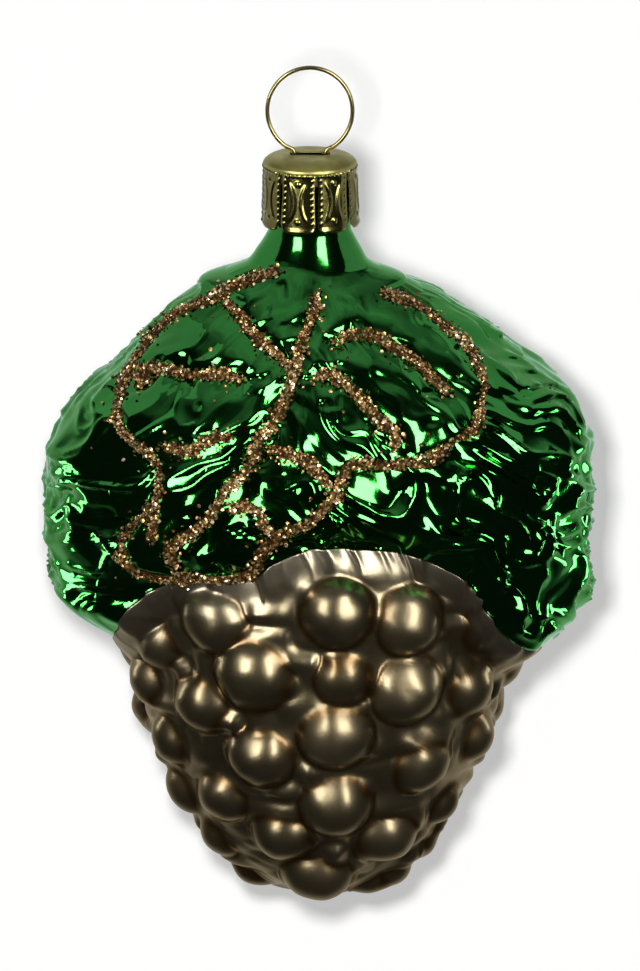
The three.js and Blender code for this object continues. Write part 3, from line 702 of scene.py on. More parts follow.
# %% Balls and their heights
CORE_CENTRE = (1.3, 0.0)
CORE_DROP = 38.6
CORE_WIDTH = 23.6
CORE_FRONT = 23.1
CORE_BACK = 23.4
CORE_HEIGHT = 44.8
CORE_TAPER = 0.92
GRAPE_SINK = 1.7
FRONT_GRAPES = [
    [-57, 22.3, 4], [-33, 12.1, 4.6], [5, 8.3, 4.5], [27, 11.8, 4.5], [56, 16.5, 4], [84, 34.4, 3.8],
    [-69, 36.6, 3.6], [-41, 37.3, 4], [-21, 26.1, 4.9], [7, 26.8, 3.6], [28, 31.5, 4.7],
    [54, 35.3, 4], [-62, 52.2, 3.6], [-21, 50.7, 4.3], [5, 43.5, 4.6], [38, 54.9, 4.1],
    [67, 52.5, 3.4], [-71, 69.2, 3.4], [-41, 65.6, 3.7], [6, 65.2, 4.5], [60, 71.5, 3],
    [-59, 81.2, 3.1], [-17, 75.4, 3.9], [31, 76.8, 4.1], [74, 85.2, 2.8], [-2, 89.3, 4.3],
    [60, 92.4, 3.1],
]
REAR_ROWS = [
    [15.4, [104, 127, 149, 171, 193, 215, 237], 4.3],
    [34.4, [112, 136, 160, 183, 206, 230, 256], 4.3],
    [51.5, [105, 131, 156, 182, 208, 235, 261], 3.9],
    [71.2, [114, 145, 175, 206, 238], 3.8],
    [86.8, [122, 162, 203, 247], 3.7],
]
BOTTOM_GRAPES = [[50, 94.6, 2.9], [186, 93.4, 3.4], [-70, 93.8, 2.9]]
GRAPES = FRONT_GRAPES + [[a, d, r] for d, angles, r in REAR_ROWS for a in angles] + BOTTOM_GRAPES


def core_point(azimuth, turn):
    """A point of the core: an oval that shrinks with the cosine of the turn, straight above turn 0."""
    azimuth, turn = np.broadcast_arrays(azimuth, turn)
    below = np.clip(turn, 0, np.pi / 2)
    radius = oval(azimuth, CORE_WIDTH, CORE_WIDTH, CORE_FRONT, CORE_BACK)
    radius = radius * np.maximum(np.cos(below), 1e-6) ** CORE_TAPER
    fall = np.where(turn > 0, np.sin(below), turn)
    return np.stack(
        [
            CORE_CENTRE[0] + radius * np.sin(azimuth),
            CORE_CENTRE[1] - radius * np.cos(azimuth),
            HOOD_TOP - CORE_DROP - CORE_HEIGHT * fall,
        ],
        -1,
    )


def grape_balls():
    """Centre and radius of each ball: sunk below the core so that its seen circle is as measured."""
    angle, depth, seen = np.array(GRAPES, float).T
    angle, turn, step = np.radians(angle), np.arcsin(depth / 100), 0.02
    across = core_point(angle + step, turn) - core_point(angle - step, turn)
    down = core_point(angle, turn + step) - core_point(angle, turn - step)
    normal = np.cross(down, across)
    normal = normal / np.linalg.norm(normal, axis=-1, keepdims=True)
    return core_point(angle, turn) - GRAPE_SINK * normal, np.hypot(seen, GRAPE_SINK)


def soft_max(a, b, width):
    """The larger of two heights, rounded where they differ by less than the width."""
    return np.maximum(a, b) + np.maximum(width - np.abs(a - b), 0) ** 2 / (4 * width)


def grape_height(points, normals, grown):
    """Height of the balls over each point along its normal, and a share of painted shade where two balls
    meet or a ball meets the lumps between. Between the balls the glass has rounded lumps, in the measure in which it
    is grown."""
    first = np.full(points.shape[:-1], -3.0)
    second = first.copy()
    x, y, z = np.moveaxis(points, -1, 0)
    ahead = smooth(2 * np.abs(normals[..., 1]) - 0.8)
    lumps = [np.abs(noise(side / 3.1 + 70, z / 2.9, 5)) for side in (x, y)]
    fill = grown * (1.35 * (ahead * lumps[0] + (1 - ahead) * lumps[1]) - 0.15)
    width = 0.9 + 0.5 * noise(x / 3.5 + 20, z / 3.5, 1)
    height = fill.copy()
    for centre, radius in zip(*grape_balls()):
        to = centre - points
        along = np.einsum("...k,...k", to, normals)
        side = np.einsum("...k,...k", to, to) - along**2
        hit = np.where(side < radius**2, along + np.sqrt(np.maximum(radius**2 - side, 0)), -3.0)
        height = soft_max(height, hit, width)
        second = np.maximum(second, np.minimum(first, hit))
        first = np.maximum(first, hit)
    height = height + 0.13 * grown * np.exp(-(((first - fill + 0.45) / 0.4) ** 2))
    # Painted shade: meet marks where two balls meet and foot where a ball meets the lumps between; the film is
    # darkened there.
    meet = np.exp(-(((first - second) / 0.55) ** 2)) * smooth(second / 0.3)
    foot = np.exp(-(((first - fill - 0.1) / 0.75) ** 2))
    return height, np.maximum(meet, foot)


print(len(GRAPES), "grapes")

# %% [markdown]
# ## The whole glass body
# The glass is one closed surface: up the inside from the bottom to the open mouth, over the rim,
# down the neck and under the lacquer, out at the lacquer's border, round the ledge below the hood
# and over the grapes to the bottom. Only the part below the border needs many rows.

# %% Glass surface
LEDGE_ROWS = 20
CLUSTER_ROWS = 155
NECK_DROPS = [MOUTH_DROP, -4, 0, 0.8, 1.6, 2.4, 3.2, 4, 5, 6, 7, 8, 9.5, 11, 13, 16]
HIDDEN_SINK = 2.2
BORDER_DEEP = 6.0
INSIDE_ROWS = 8
LEDGE_DEEP = 5.0


def turn_at(drop):
    """Turn of the core's surface at a drop: the arc sine below its widest level, level above it."""
    share = (drop - CORE_DROP) / CORE_HEIGHT
    return np.where(share > 0, np.arcsin(np.clip(share, 0, 1)), share)


def core_normal(azimuth, turn):
    """Unit normal of the core, from small steps down and across."""
    step = 0.01
    across = core_point(azimuth + step, turn) - core_point(azimuth - step, turn)
    down = core_point(azimuth, turn + step) - core_point(azimuth, turn - step)
    normal = np.cross(down, across)
    return normal / np.linalg.norm(normal, axis=-1, keepdims=True)


def ledge_and_cluster():
    """Core rings from the border down, led out to the border by a share that falls to nothing
    within LEDGE_DEEP, and raised along the core's normals by the balls that rise above that."""
    border = hood_edge(azimuths)
    rim = hood_point(azimuths, border)
    first, start = [turn_at(level) for level in (border, plain_edge(azimuths) + LEDGE_DEEP)]
    near = np.linspace(0, 1, LEDGE_ROWS, endpoint=False)[:, None]
    far = np.linspace(0, 1, CLUSTER_ROWS)[:, None]
    turns = np.concatenate([first + near * (start - first), start + far * (math.radians(88.6) - start)])
    base = core_point(azimuths[None, :], turns)
    normals = core_normal(azimuths[None, :], turns)
    below = np.clip((base[0, :, 2] - base[..., 2]) / LEDGE_DEEP, 0, 1)
    out = np.einsum("...k,...k", rim - base[0], normals[0])
    share = np.where(out > 0, 1 - smooth(below), (1 - below) ** 2)
    ledge = share[..., None] * (rim - base[0])
    ledge_height = np.maximum(share * out, 0)
    balls, crease = grape_height(base, normals, smooth(below * 1.4 - 0.4))
    risen = smooth(below * 2) * (soft_max(ledge_height, balls, 0.5) - soft_max(ledge_height, 0, 0.5))
    dent = 0.15 * noise(base[..., 0] / 2.1, base[..., 2] / 2.1 + base[..., 1] / 3, 3)
    lump = 0.16 * noise(base[..., 0] / 5 + 30, base[..., 2] / 5 + base[..., 1] / 4, 4)
    rings = base + ledge + (risen + smooth(below) * (dent + lump))[..., None] * normals
    # The second value is the share of painted shade where balls meet, faded in below the ledge.
    return rings, crease * smooth(below * 2)


def under_lacquer():
    """Rings from the mouth to the border. Under the lacquer they follow the plain hood, sunk by
    HIDDEN_SINK so that no fold lets them through, and near the border the real surface."""
    border = hood_edge(azimuths)[None, :]
    neck = np.array(NECK_DROPS)[:, None] + 0 * border
    sides = NECK_DROPS[-1] + np.arange(1, 7)[:, None] / 7 * (border - BORDER_DEEP - NECK_DROPS[-1])
    near = border - BORDER_DEEP + np.linspace(0, BORDER_DEEP - 0.25, 12)[:, None]
    drops = np.concatenate([neck, sides, near])
    angle = azimuths[None, :] + 0 * drops
    plain = hood_radius(angle, drops) - HIDDEN_SINK * smooth((drops + 1) / 5)
    real = hood_point(angle, drops)
    share = smooth((drops - border + BORDER_DEEP) / 3)
    radius = (1 - share) * plain + share * (np.hypot(real[..., 0], real[..., 1]) - 0.35)
    return np.stack([radius * np.sin(angle), -radius * np.cos(angle), HOOD_TOP - drops], -1)


def glass_mesh():
    cluster, crease = ledge_and_cluster()
    hidden = under_lacquer()
    shrink = [1 - 0.5 * GLASS / NECK_RADIUS, 1 - 0.5 * GLASS / NECK_RADIUS, 1]
    bore = hidden[:1] * shrink + [0, 0, 0.12]
    upper = hidden[: len(NECK_DROPS) + 3]
    radius = np.hypot(upper[..., 0], upper[..., 1])[..., None]
    upper = upper * np.concatenate([1 - GLASS / radius, 1 - GLASS / radius, 1 + 0 * radius], -1)
    turns = np.linspace(0.05, np.radians(86), INSIDE_ROWS)[:, None]
    lower = core_point(azimuths[None, :], turns) * [0.93, 0.93, 1] + [0, 0, 1.2]
    inside = np.concatenate([upper, lower])[::-1]
    rings = np.concatenate([inside, bore, hidden, cluster])
    poles = [lower[-1].mean(0) - [0, 0, 0.05], cluster[-1].mean(0) - [0, 0, 0.02]]
    points, faces = closed_skin(rings, poles)
    mesh = make_mesh("grapes_glass", points, faces)
    # Painted shade where balls meet is stored on the cluster's points for the champagne film.
    creases = np.zeros(len(points))
    creases[len(points) - 2 - crease.size : len(points) - 2] = crease.ravel()
    add_values(mesh, "crease", creases)
    bare = (points[:, 2] > HOOD_TOP).astype(float)
    depth = cluster[0, :, 2] - cluster[..., 2]
    bare[len(points) - 2 - crease.size : len(points) - 2] = 0.10 * np.exp(-((depth / 3.0) ** 2)).ravel()
    add_values(mesh, "bare", bare)
    return mesh


grapes = add_piece(glass_mesh(), [CHAMPAGNE], "glass", "satin_glass", "glass_body")

# %% [markdown]
# ## The crown cap
# The cap is pressed from thin gilded tin. Its flat top has one slot for the wire, a slanting
# shoulder widens to the neck, and eight petals grip the glass. Each petal is stamped with a row of
# beads round its border, two ridges that bend away from each other, and two dots. A petal is one
# grid whose outer side carries the stamping as a height over its own width and length.

# %% Gilt finishes
def gilt(name, bright, dull, roughness, grain):
    """Gilded metal that is dull in patches, with fine scratches and a little relief."""
    material, tree, shader = new_material(name)
    place = object_place(tree)
    patch = noise_of(tree, place, 380, 4)
    tree.links.new(ramp_of(tree, patch.outputs["Fac"], [(0.35, dull), (0.65, bright)]), shader.inputs["Base Color"])
    scratch = noise_of(tree, place, 1500, 4, grain)
    bump = add_node(tree, "ShaderNodeBump", None, Strength=0.12, Distance=0.0001, Height=scratch.outputs["Fac"])
    tree.links.new(bump.outputs["Normal"], shader.inputs["Normal"])
    haze = add_node(
        tree, "ShaderNodeMapRange", None, i0=patch.outputs["Fac"], i1=0.3, i2=0.7, i3=roughness * 1.5, i4=roughness
    )
    tree.links.new(haze.outputs[0], shader.inputs["Roughness"])
    shader.inputs["Metallic"].default_value = 1.0
    return material


CAP_GILT = gilt("cap_gilt", (0.22, 0.2, 0.066), (0.13, 0.118, 0.038), 0.15, (1, 1, 1))
# The head's satin gilt is rougher than the petals' gilt, which is its finish, and its base colour is much lighter,
# which is painted light on the cap's top.
CAP_SATIN = gilt("cap_satin_lit_top", (0.40, 0.375, 0.125), (0.30, 0.275, 0.085), 0.34, (1, 1, 1))
WIRE_GILT = gilt("wire_gilt", (0.36, 0.30, 0.13), (0.2, 0.165, 0.065), 0.18, (1, 1, 1))

# %% Cap shape
TIN = 0.3
CAP_FLAT = 3.3
CAP_ROUND = 0.3
PETAL_FLARE = 0.33
PETAL_TURN = math.radians(8)
PETALS = 8
SLOT_HALF = (2.35, 0.85)
CAP_FACE = CAP_TOP - 0.4
TIPS_LOWER = 0.4


def join_parts(parts):
    """Points and faces of several parts as one, with the corners of each moved on."""
    points, faces, first = [], [], 0
    for part_points, part_faces in parts:
        points.append(part_points)
        faces += [face + first for face in part_faces]
        first += len(part_points)
    return np.concatenate(points), faces


def crown_head():
    """Slotted top and shoulder: rows from the slot's outline out to the head of the petals, then
    back inside, each between the slot's rounded rectangle and a circle."""
    columns = 192
    angle = np.arange(columns) / columns * 2 * np.pi
    ring = np.stack([np.sin(angle), -np.cos(angle)], -1)
    blunt = (np.abs(ring[:, 0]) ** 8 + np.abs(ring[:, 1] * SLOT_HALF[0] / SLOT_HALF[1]) ** 8) ** (-1 / 8)
    slot = ring * (SLOT_HALF[0] * blunt)[:, None]
    flat = [
        (slot * (1 - t) + ring * 3.6 * t, CAP_FACE + height)
        for t, height in ((0, -0.06), (0.03, 0.06), (0.09, 0), (0.4, 0.0), (0.8, -0.01), (1, -0.04))
    ]
    slant = np.array([[4.1, -0.12], [4.6, -0.25], [5.0, -0.43], [5.3, -0.62], [5.5, -0.83], [5.6, -1.0], [5.6, -1.2], [5.5, -1.6]])
    down = [(ring * r, CAP_FACE + z) for r, z in slant]
    up = [(ring * (r - TIN), CAP_FACE + z - 0.1) for r, z in slant[::-1]]
    under = [
        (slot * (1 - t) + ring * 3.6 * t, CAP_FACE - thick)
        for t, thick in ((0.95, TIN), (0.5, TIN), (0.2, 0.12), (0.0, 0.1))
    ]
    rows = [np.concatenate([xy, np.full((columns, 1), z)], 1) for xy, z in flat + down + up + under]
    loop = np.array(rows)
    return loop.reshape(-1, 3), [band_faces(len(loop), columns, round_rows=True)]


def stamping(x, y, half):
    """Height of a petal's stamping at x across and y down: beads, bent ridges, dots and the lip."""
    side = np.abs(x) - (half - 0.38)
    bead_y = (y - 0.55) % 0.74 - 0.37
    beads = np.exp(-((side / 0.11) ** 2 + (bead_y / 0.12) ** 2)) * (y > 0.55) * (y < 6.4)
    top_x = (x + 3.3) % 0.6 - 0.3
    beads = np.maximum(beads, 1.5 * np.exp(-((top_x / 0.17) ** 2 + ((y - 0.3) / 0.2) ** 2)) * (side < 0.1))
    waist = 0.45 + 0.115 * (y - 3.6) ** 2
    ridge = np.exp(-(((np.abs(x) - waist) / 0.2) ** 2)) * smooth((2.6 - np.abs(y - 3.6)) / 1.0)
    dots = sum(np.exp(-((np.hypot(x, y - level) / 0.3) ** 4)) for level in (1.35, 5.9))
    lip = np.exp(-(((y - 7.05) / 0.22) ** 2))
    return 0.1 * beads + 0.12 * ridge + 0.14 * dots + 0.12 * lip


def petal(turn, lean):
    """One petal: outer columns with the stamping, inner columns behind them, closed at both ends."""
    rows, across, behind = 92, 60, 12
    length = PETAL_LENGTH + TIPS_LOWER
    y = np.linspace(0, length, rows)[:, None]
    half = 2.15 + 0.02 * y - 0.17 * smooth((y - 0.3) / 2.5)
    corner = np.clip((y - (length - 1.3)) / 1.3, 0, 1)
    half = half - 1.25 * (1 - np.sqrt(1 - corner**2 * 0.999))
    share = np.concatenate([np.linspace(-1, 1, across), np.linspace(1, -1, behind + 2)[1:-1]])[None, :]
    outside = (np.arange(across + behind) < across)[None, :]
    x = half * share
    flare = RIM_RADIUS - 0.02 + PETAL_FLARE * (y / PETAL_LENGTH) * lean - 0.10 * smooth(1 - y / 0.4)
    rim = 0.07 * np.abs(share) ** 8
    radius = flare + np.where(outside, stamping(x, y, half) - 0.12 - rim, -TIN)
    angle = turn + x / RIM_RADIUS
    z = PETAL_HEAD - y + 0 * x
    rings = np.stack([radius * np.sin(angle), -radius * np.cos(angle), z], -1)
    poles = [rings[0].mean(0) + [0, 0, 0.02], rings[-1].mean(0) - [0, 0, 0.06]]
    return closed_skin(rings, poles)


def cap_mesh():
    turns = PETAL_TURN + (np.arange(PETALS) + 0.5) * 2 * np.pi / PETALS
    leans = 1 + 0.5 * rng.uniform(-1, 1, PETALS)
    petals = [petal(turn, lean) for turn, lean in zip(turns, leans)]
    head = crown_head()
    mesh = make_mesh("cap_pressed", *join_parts([head, *petals]))
    # The head takes the lighter satin gilt, painted light on the cap's top, and the petals the glossier gilt.
    slots = np.ones(len(mesh.polygons), int)
    slots[: sum(len(faces) for faces in head[1])] = 0
    mesh.polygons.foreach_set("material_index", slots)
    return mesh


cap = add_piece(cap_mesh(), [CAP_SATIN, CAP_GILT], "cap", "gilt_tin", "crown_cap")

# %% [markdown]
# ## The wire hanger
# One piece of sprung wire makes the oval ring. Its two ends close in where they pass the slot and
# spread again as legs that press against the inside of the neck. A round profile is carried along
# a smooth line through the bends.

# %% Hanger
def smooth_line(corners, steps):
    """A centripetal Catmull-Rom line: each span blends two circles' worth of its four corners."""
    p = np.asarray(corners, float)
    p = np.concatenate([[2 * p[0] - p[1]], p, [2 * p[-1] - p[-2]]])
    knots = np.concatenate([[0], np.cumsum(np.linalg.norm(np.diff(p, axis=0), axis=1) ** 0.5)])
    out = []
    for i in range(1, len(p) - 2):
        t = np.linspace(knots[i], knots[i + 1], steps, endpoint=False)[:, None]
        k0, k1, k2, k3 = knots[i - 1 : i + 3]
        a = ((k1 - t) * p[i - 1] + (t - k0) * p[i]) / (k1 - k0)
        b = ((k2 - t) * p[i] + (t - k1) * p[i + 1]) / (k2 - k1)
        c = ((k3 - t) * p[i + 1] + (t - k2) * p[i + 2]) / (k3 - k2)
        ab = ((k2 - t) * a + (t - k0) * b) / (k2 - k0)
        bc = ((k3 - t) * b + (t - k1) * c) / (k3 - k1)
        out.append(((k2 - t) * ab + (t - k1) * bc) / (k2 - k1))
    return np.concatenate(out + [p[-2:-1]])


def hanger_route():
    """Right half from the leg's tip up through the slot and round the ring, then its mirror."""
    tip = NECK_RADIUS - GLASS - 0.35 - WIRE / 2
    waist = WAIST / 2
    legs = [
        [tip, CAP_TOP - 14],
        [tip, CAP_TOP - 11.5],
        [tip, CAP_TOP - 9],
        [(tip + waist) / 2, CAP_TOP - 4.5],
        [waist - 0.3, CAP_TOP - 2.7],
        [waist - 0.1, CAP_TOP - 1.1],
    ]
    start = math.asin(waist / RING_HALF_WIDTH)
    turns = start + (math.pi - start) * np.arange(12) / 12
    arc = np.stack([RING_HALF_WIDTH * np.sin(turns), RING_CENTRE - RING_HALF_HEIGHT * np.cos(turns)], -1)
    right = np.concatenate([legs, arc])
    left = right[::-1] * [-1, 1]
    flat = np.concatenate([right, [[0, RING_CENTRE + RING_HALF_HEIGHT]], left])
    return np.stack([flat[:, 0], 0 * flat[:, 0], flat[:, 1]], -1)


def tube(path, radius, sides):
    """A round profile carried along a path that lies in the plane of X and Z."""
    along = np.gradient(path, axis=0)
    along = along / np.linalg.norm(along, axis=-1, keepdims=True)
    level = np.broadcast_to([0.0, 1.0, 0.0], along.shape)
    across = np.cross(level, along)
    turn = np.arange(sides) / sides * 2 * np.pi
    ring = np.cos(turn)[None, :, None] * across[:, None] + np.sin(turn)[None, :, None] * level[:, None]
    ends = [path[0] - 0.3 * radius * along[0], path[-1] + 0.3 * radius * along[-1]]
    points, faces = closed_skin(path[:, None] + radius * ring, ends)
    return points, [face[:, ::-1] for face in faces]


hanger_mesh = make_mesh("hanger_wire", *tube(smooth_line(hanger_route(), 10), WIRE / 2, 20))
hanger = add_piece(hanger_mesh, [WIRE_GILT], "hanger", "gilt_wire", "wire_hanger")

# %% [markdown]
# ## Glitter trails
# Glue is squeezed along the veins and the edge of the leaf by hand and dusted with glitter. The
# flakes are hexagons a few tenths of a millimetre across that lie in the glue at every angle, so
# some flash and most stay brown. Each trail is a low mound of glue with thousands of small flat
# flakes set into it, and a few that fell beside it.

# %% Routes of the trails
TRAILS = {
    "midrib": [[1, 9.4], [0.4, 11.8], [-1.2, 15.4], [-2, 19], [-4.2, 24.4], [-5.9, 26.2], [-7.6, 30.3],
               [-9.7, 32.1], [-12, 35.6], [-14.3, 37.4], [-16.2, 39.1], [-16.8, 42.4]],
    "vein_upper_left": [[-10.4, 10.1], [-8.6, 11.5], [-7.3, 13.4], [-5.8, 14.9], [-3.8, 16.6], [-2.4, 18.2]],
    "vein_left": [[-20.5, 20.3], [-19.9, 18.3], [-18, 17.8], [-15.6, 18.7], [-10.3, 18.7], [-8.4, 19.4]],
    "vein_upper_right": [[2.8, 14.9], [4.2, 14.5], [6, 14], [7.8, 14.3], [9.7, 15.3], [11.3, 16.3],
                         [13, 17.3], [14.4, 18.9], [16.4, 21.1]],
    "vein_lower_right": [[0.6, 19.5], [2, 18.6], [3.1, 18.9], [4.9, 20.6], [6.4, 22], [7.8, 23.7],
                         [9.8, 25.5], [10.3, 27.3]],
    "edge_left": [[-4, 6.4], [-7.2, 7.4], [-10.1, 8.7], [-13.8, 10.5], [-17.5, 12.4], [-19.8, 14.5],
                  [-21.5, 17.6], [-22.7, 20.8], [-23, 23.7], [-22.4, 25.6], [-21, 26.8], [-19.1, 27.8],
                  [-18.1, 29.6], [-17.6, 31.7], [-18.4, 34.4], [-18.1, 38.2]],
    "edge_low": [[-19.1, 34.4], [-20.5, 35.8], [-22.2, 37.3], [-22.4, 40], [-21.1, 42.2], [-19.3, 43.3],
                 [-16.7, 43.5], [-14.3, 43.1], [-11, 43.4], [-7.6, 42.7], [-6.5, 41.2], [-5.8, 39.7],
                 [-4.4, 38.5], [-2.3, 37.1], [-0.1, 36.3], [1.8, 34]],
    "edge_right": [[8.3, 8.9], [10.3, 9.5], [12.5, 10.1], [14.5, 11.3], [16.2, 12.9], [17.8, 14.3],
                   [19.2, 15.8], [20, 17.6], [20.8, 20.5], [20.4, 22.5], [19.8, 24.7], [18.1, 25.9],
                   [16.4, 27.1], [13.3, 29.1], [11, 29.3], [8.8, 29.5], [6.5, 29.2], [4.6, 29.5],
                   [4, 30.3], [3.5, 32.1], [2.8, 33.7], [1.8, 34.5]],
    "twig_left": [[-16.8, 27.2], [-13.8, 27.8], [-12.6, 26.8], [-9, 25.6]],
    "twig_middle": [[-4.4, 27.7], [-2.3, 28], [0, 29.1], [1.3, 30.7], [2.3, 32.1]],
    "twig_low": [[-9.4, 34.5], [-7.6, 34.1], [-5.8, 34.9], [-5.3, 36.5], [-4.2, 37.4]],
}
LACQUER_FACE = 0.14


def leaf_place(x, view):
    """Azimuth and drop where a line of sight meets the hood, halved down between two steps of depth."""
    def place_at(y):
        return np.arctan2(x, -y), (view + y * math.sin(VIEW_TILT)) / math.cos(VIEW_TILT)

    def is_outside(y):
        return np.hypot(x, y) > hood_radius(*place_at(y)) + LEAF_LIFT

    outer = np.full(np.shape(x), -40.0)
    for _ in range(80):
        outer = np.where(is_outside(outer + 0.5) & (outer < 0), outer + 0.5, outer)
    inner = outer + 0.5
    for _ in range(12):
        middle = (outer + inner) / 2
        out = is_outside(middle)
        outer, inner = np.where(out, middle, outer), np.where(out, inner, middle)
    return place_at(inner)


def on_leaf(x, view):
    """Points on the lacquer that are seen at x and view, and the unit normals there."""
    azimuth, drop = leaf_place(x, view)
    step = 0.006
    here = hood_point(azimuth, drop)
    across = hood_point(azimuth + step, drop) - hood_point(azimuth - step, drop)
    down = hood_point(azimuth, drop + step * 20) - hood_point(azimuth, drop - step * 20)
    normal = np.cross(down, across)
    normal = normal / np.linalg.norm(normal, axis=-1, keepdims=True)
    return here + LACQUER_FACE * normal, normal


def even_route(corners, spacing):
    """Points at even distances along a smooth line, in the plane of sight."""
    line = smooth_line(corners, 24)
    length = np.concatenate([[0], np.cumsum(np.linalg.norm(np.diff(line, axis=0), axis=1))])
    at = np.linspace(0, length[-1], max(3, int(length[-1] / spacing)))
    return np.stack([np.interp(at, length, line[:, 0]), np.interp(at, length, line[:, 1])], -1), length[-1]


# %% Glue and flakes
GLUE_ACROSS = 9
FLAKES_PER_MM = 46


def glue_mound(route, width, height):
    """A mound along the route, its height one less the square of the share across, foot in the lacquer."""
    along = np.gradient(route, axis=0)
    along = along / np.linalg.norm(along, axis=-1, keepdims=True)
    side = np.stack([-along[:, 1], along[:, 0]], -1)
    share = np.linspace(-1, 1, GLUE_ACROSS)[None, :, None]
    spots = route[:, None] + side[:, None] * share * width[:, None, None] / 2
    ground, up = on_leaf(spots[..., 0], spots[..., 1])
    top = ground + up * (height[:, None] * (1 - share[..., 0] ** 2) + 0.01)[..., None]
    under = ground[:, ::-1] - 0.12 * up[:, ::-1]
    rings = np.concatenate([top, under[:, 1:-1]], axis=1)
    poles = [rings[0].mean(0), rings[-1].mean(0)]
    points, faces = closed_skin(rings, poles)
    centre, skin = rings[len(rings) // 2].mean(0), up[len(rings) // 2, GLUE_ACROSS // 2]
    i = len(rings) // 2 * rings.shape[1] + GLUE_ACROSS // 2
    a, b, c, _ = points[faces[0][i]]
    if np.dot(np.cross(b - a, c - a), skin) < 0:
        faces = [face[:, ::-1] for face in faces]
    return points, faces


def flake_shapes(centres, ups, sizes):
    """Hexagonal plates: six corners on a tilted circle, a tip above and a tip below, twelve faces."""
    count = len(centres)
    tilted = ups + 0.75 * rng.normal(size=(count, 3))
    tilted = tilted / np.linalg.norm(tilted, axis=1, keepdims=True)
    side = np.cross(tilted, rng.normal(size=(count, 3)))
    side = side / np.linalg.norm(side, axis=1, keepdims=True)
    third = np.cross(tilted, side)
    turn = np.arange(6) / 6 * 2 * np.pi
    rim = side[:, None] * np.cos(turn)[None, :, None] + third[:, None] * np.sin(turn)[None, :, None]
    rim = centres[:, None] + rim * sizes[:, None, None]
    thick = 0.16 * sizes[:, None] * tilted
    points = np.concatenate([rim, (centres + thick)[:, None], (centres - thick)[:, None]], axis=1)
    k = np.arange(6)
    cone = np.concatenate([np.stack([k, (k + 1) % 6, k * 0 + 6], -1), np.stack([(k + 1) % 6, k, k * 0 + 7], -1)])
    faces = cone[None] + 8 * np.arange(count)[:, None, None]
    return points.reshape(-1, 3), faces.reshape(-1, 3)


def trail_mesh(name, corners):
    route, length = even_route(corners, 0.45)
    wander = noise(route[:, 0] / 1.3 + 9, route[:, 1] / 1.3, 4)
    ends = smooth(np.minimum(np.arange(len(route)), np.arange(len(route))[::-1]) / 2.5) * 0.7 + 0.3
    width = (1.35 + 0.35 * wander) * ends
    glue, glue_faces = glue_mound(route, 0.9 * width, 0.14 * ends)
    count = int(FLAKES_PER_MM * length)
    fine, _ = even_route(corners, 0.05)
    pick = rng.integers(0, len(fine), count)
    spread = 0.41 * (1 + 0.3 * noise(fine[pick, 0] / 1.3 + 9, fine[pick, 1] / 1.3, 4))
    spots = fine[pick] + rng.normal(size=(count, 2)) * spread[:, None]
    stray = rng.random(count) < 0.02
    spots = spots + stray[:, None] * rng.normal(size=(count, 2)) * 1.5
    ground, up = on_leaf(spots[:, 0], spots[:, 1])
    off = np.hypot(*(spots - fine[pick]).T)
    height = 0.2 * np.maximum(1 - (off / 0.8) ** 2, 0) + rng.uniform(0.02, 0.16, count)
    flakes, flake_faces = flake_shapes(ground + up * height[:, None], up, rng.uniform(0.15, 0.27, count))
    points, faces = join_parts([(glue, glue_faces), (flakes, [flake_faces])])
    mesh = make_mesh(f"trail_{name}", points, faces)
    tint = np.zeros(len(points))
    tint[len(glue) :] = np.repeat(rng.random(count), 8)
    add_values(mesh, "tint", tint)
    is_flake = np.arange(len(mesh.polygons)) >= len(mesh.polygons) - len(flake_faces)
    mesh.polygons.foreach_set("material_index", is_flake.astype(np.int32))
    mesh.polygons.foreach_set("use_smooth", ~is_flake)
    return mesh


# %% Glitter finishes
def glue_finish():
    """Brown varnish-like glue, darker in patches."""
    material, tree, shader = new_material("glitter_glue")
    patch = noise_of(tree, object_place(tree), 700, 3)
    brown = ramp_of(tree, patch.outputs["Fac"], [(0.3, (0.023, 0.010, 0.002)), (0.7, (0.050, 0.022, 0.005))])
    tree.links.new(brown, shader.inputs["Base Color"])
    shader.inputs["Roughness"].default_value = 0.6
    shader.inputs["Specular IOR Level"].default_value = 0.06
    return material


def flake_finish():
    """Metal foil, mostly copper brown, some gold and a few nearly white, by each flake's number."""
    material, tree, shader = new_material("glitter_flakes")
    stops = [
        (0.0, (0.05, 0.02, 0.005)),
        (0.35, (0.12, 0.058, 0.016)),
        (0.62, (0.26, 0.15, 0.045)),
        (0.85, (0.66, 0.46, 0.19)),
        (1.0, (0.98, 0.86, 0.6)),
    ]
    tree.links.new(ramp_of(tree, attribute_of(tree, "tint"), stops), shader.inputs["Base Color"])
    shader.inputs["Metallic"].default_value = 0.7
    shader.inputs["Roughness"].default_value = 0.3
    return material


GLUE = glue_finish()
FLAKES = flake_finish()
trails = [
    add_piece(trail_mesh(name, corners), [GLUE, FLAKES], "glass", "glitter", f"glitter_{name}")
    for name, corners in TRAILS.items()
]
print(len(trails), "trails")

# %% [markdown]
# ## Lights and backdrop
# Two large soft boxes stand to the left and right of the camera, a little above it. Everything
# else in front is dark, which is why the glass looks deep. Beyond the object the room is white: the
# glass shows it as a light rim. A pale board stands behind and keeps the soft shadow.

# %% Softboxes
RIGHTWARDS = np.array([1.0, 0.0, 0.0])
UPWARDS = np.array([0.0, math.sin(VIEW_TILT), math.cos(VIEW_TILT)])
SOFTBOX_AWAY = 620.0


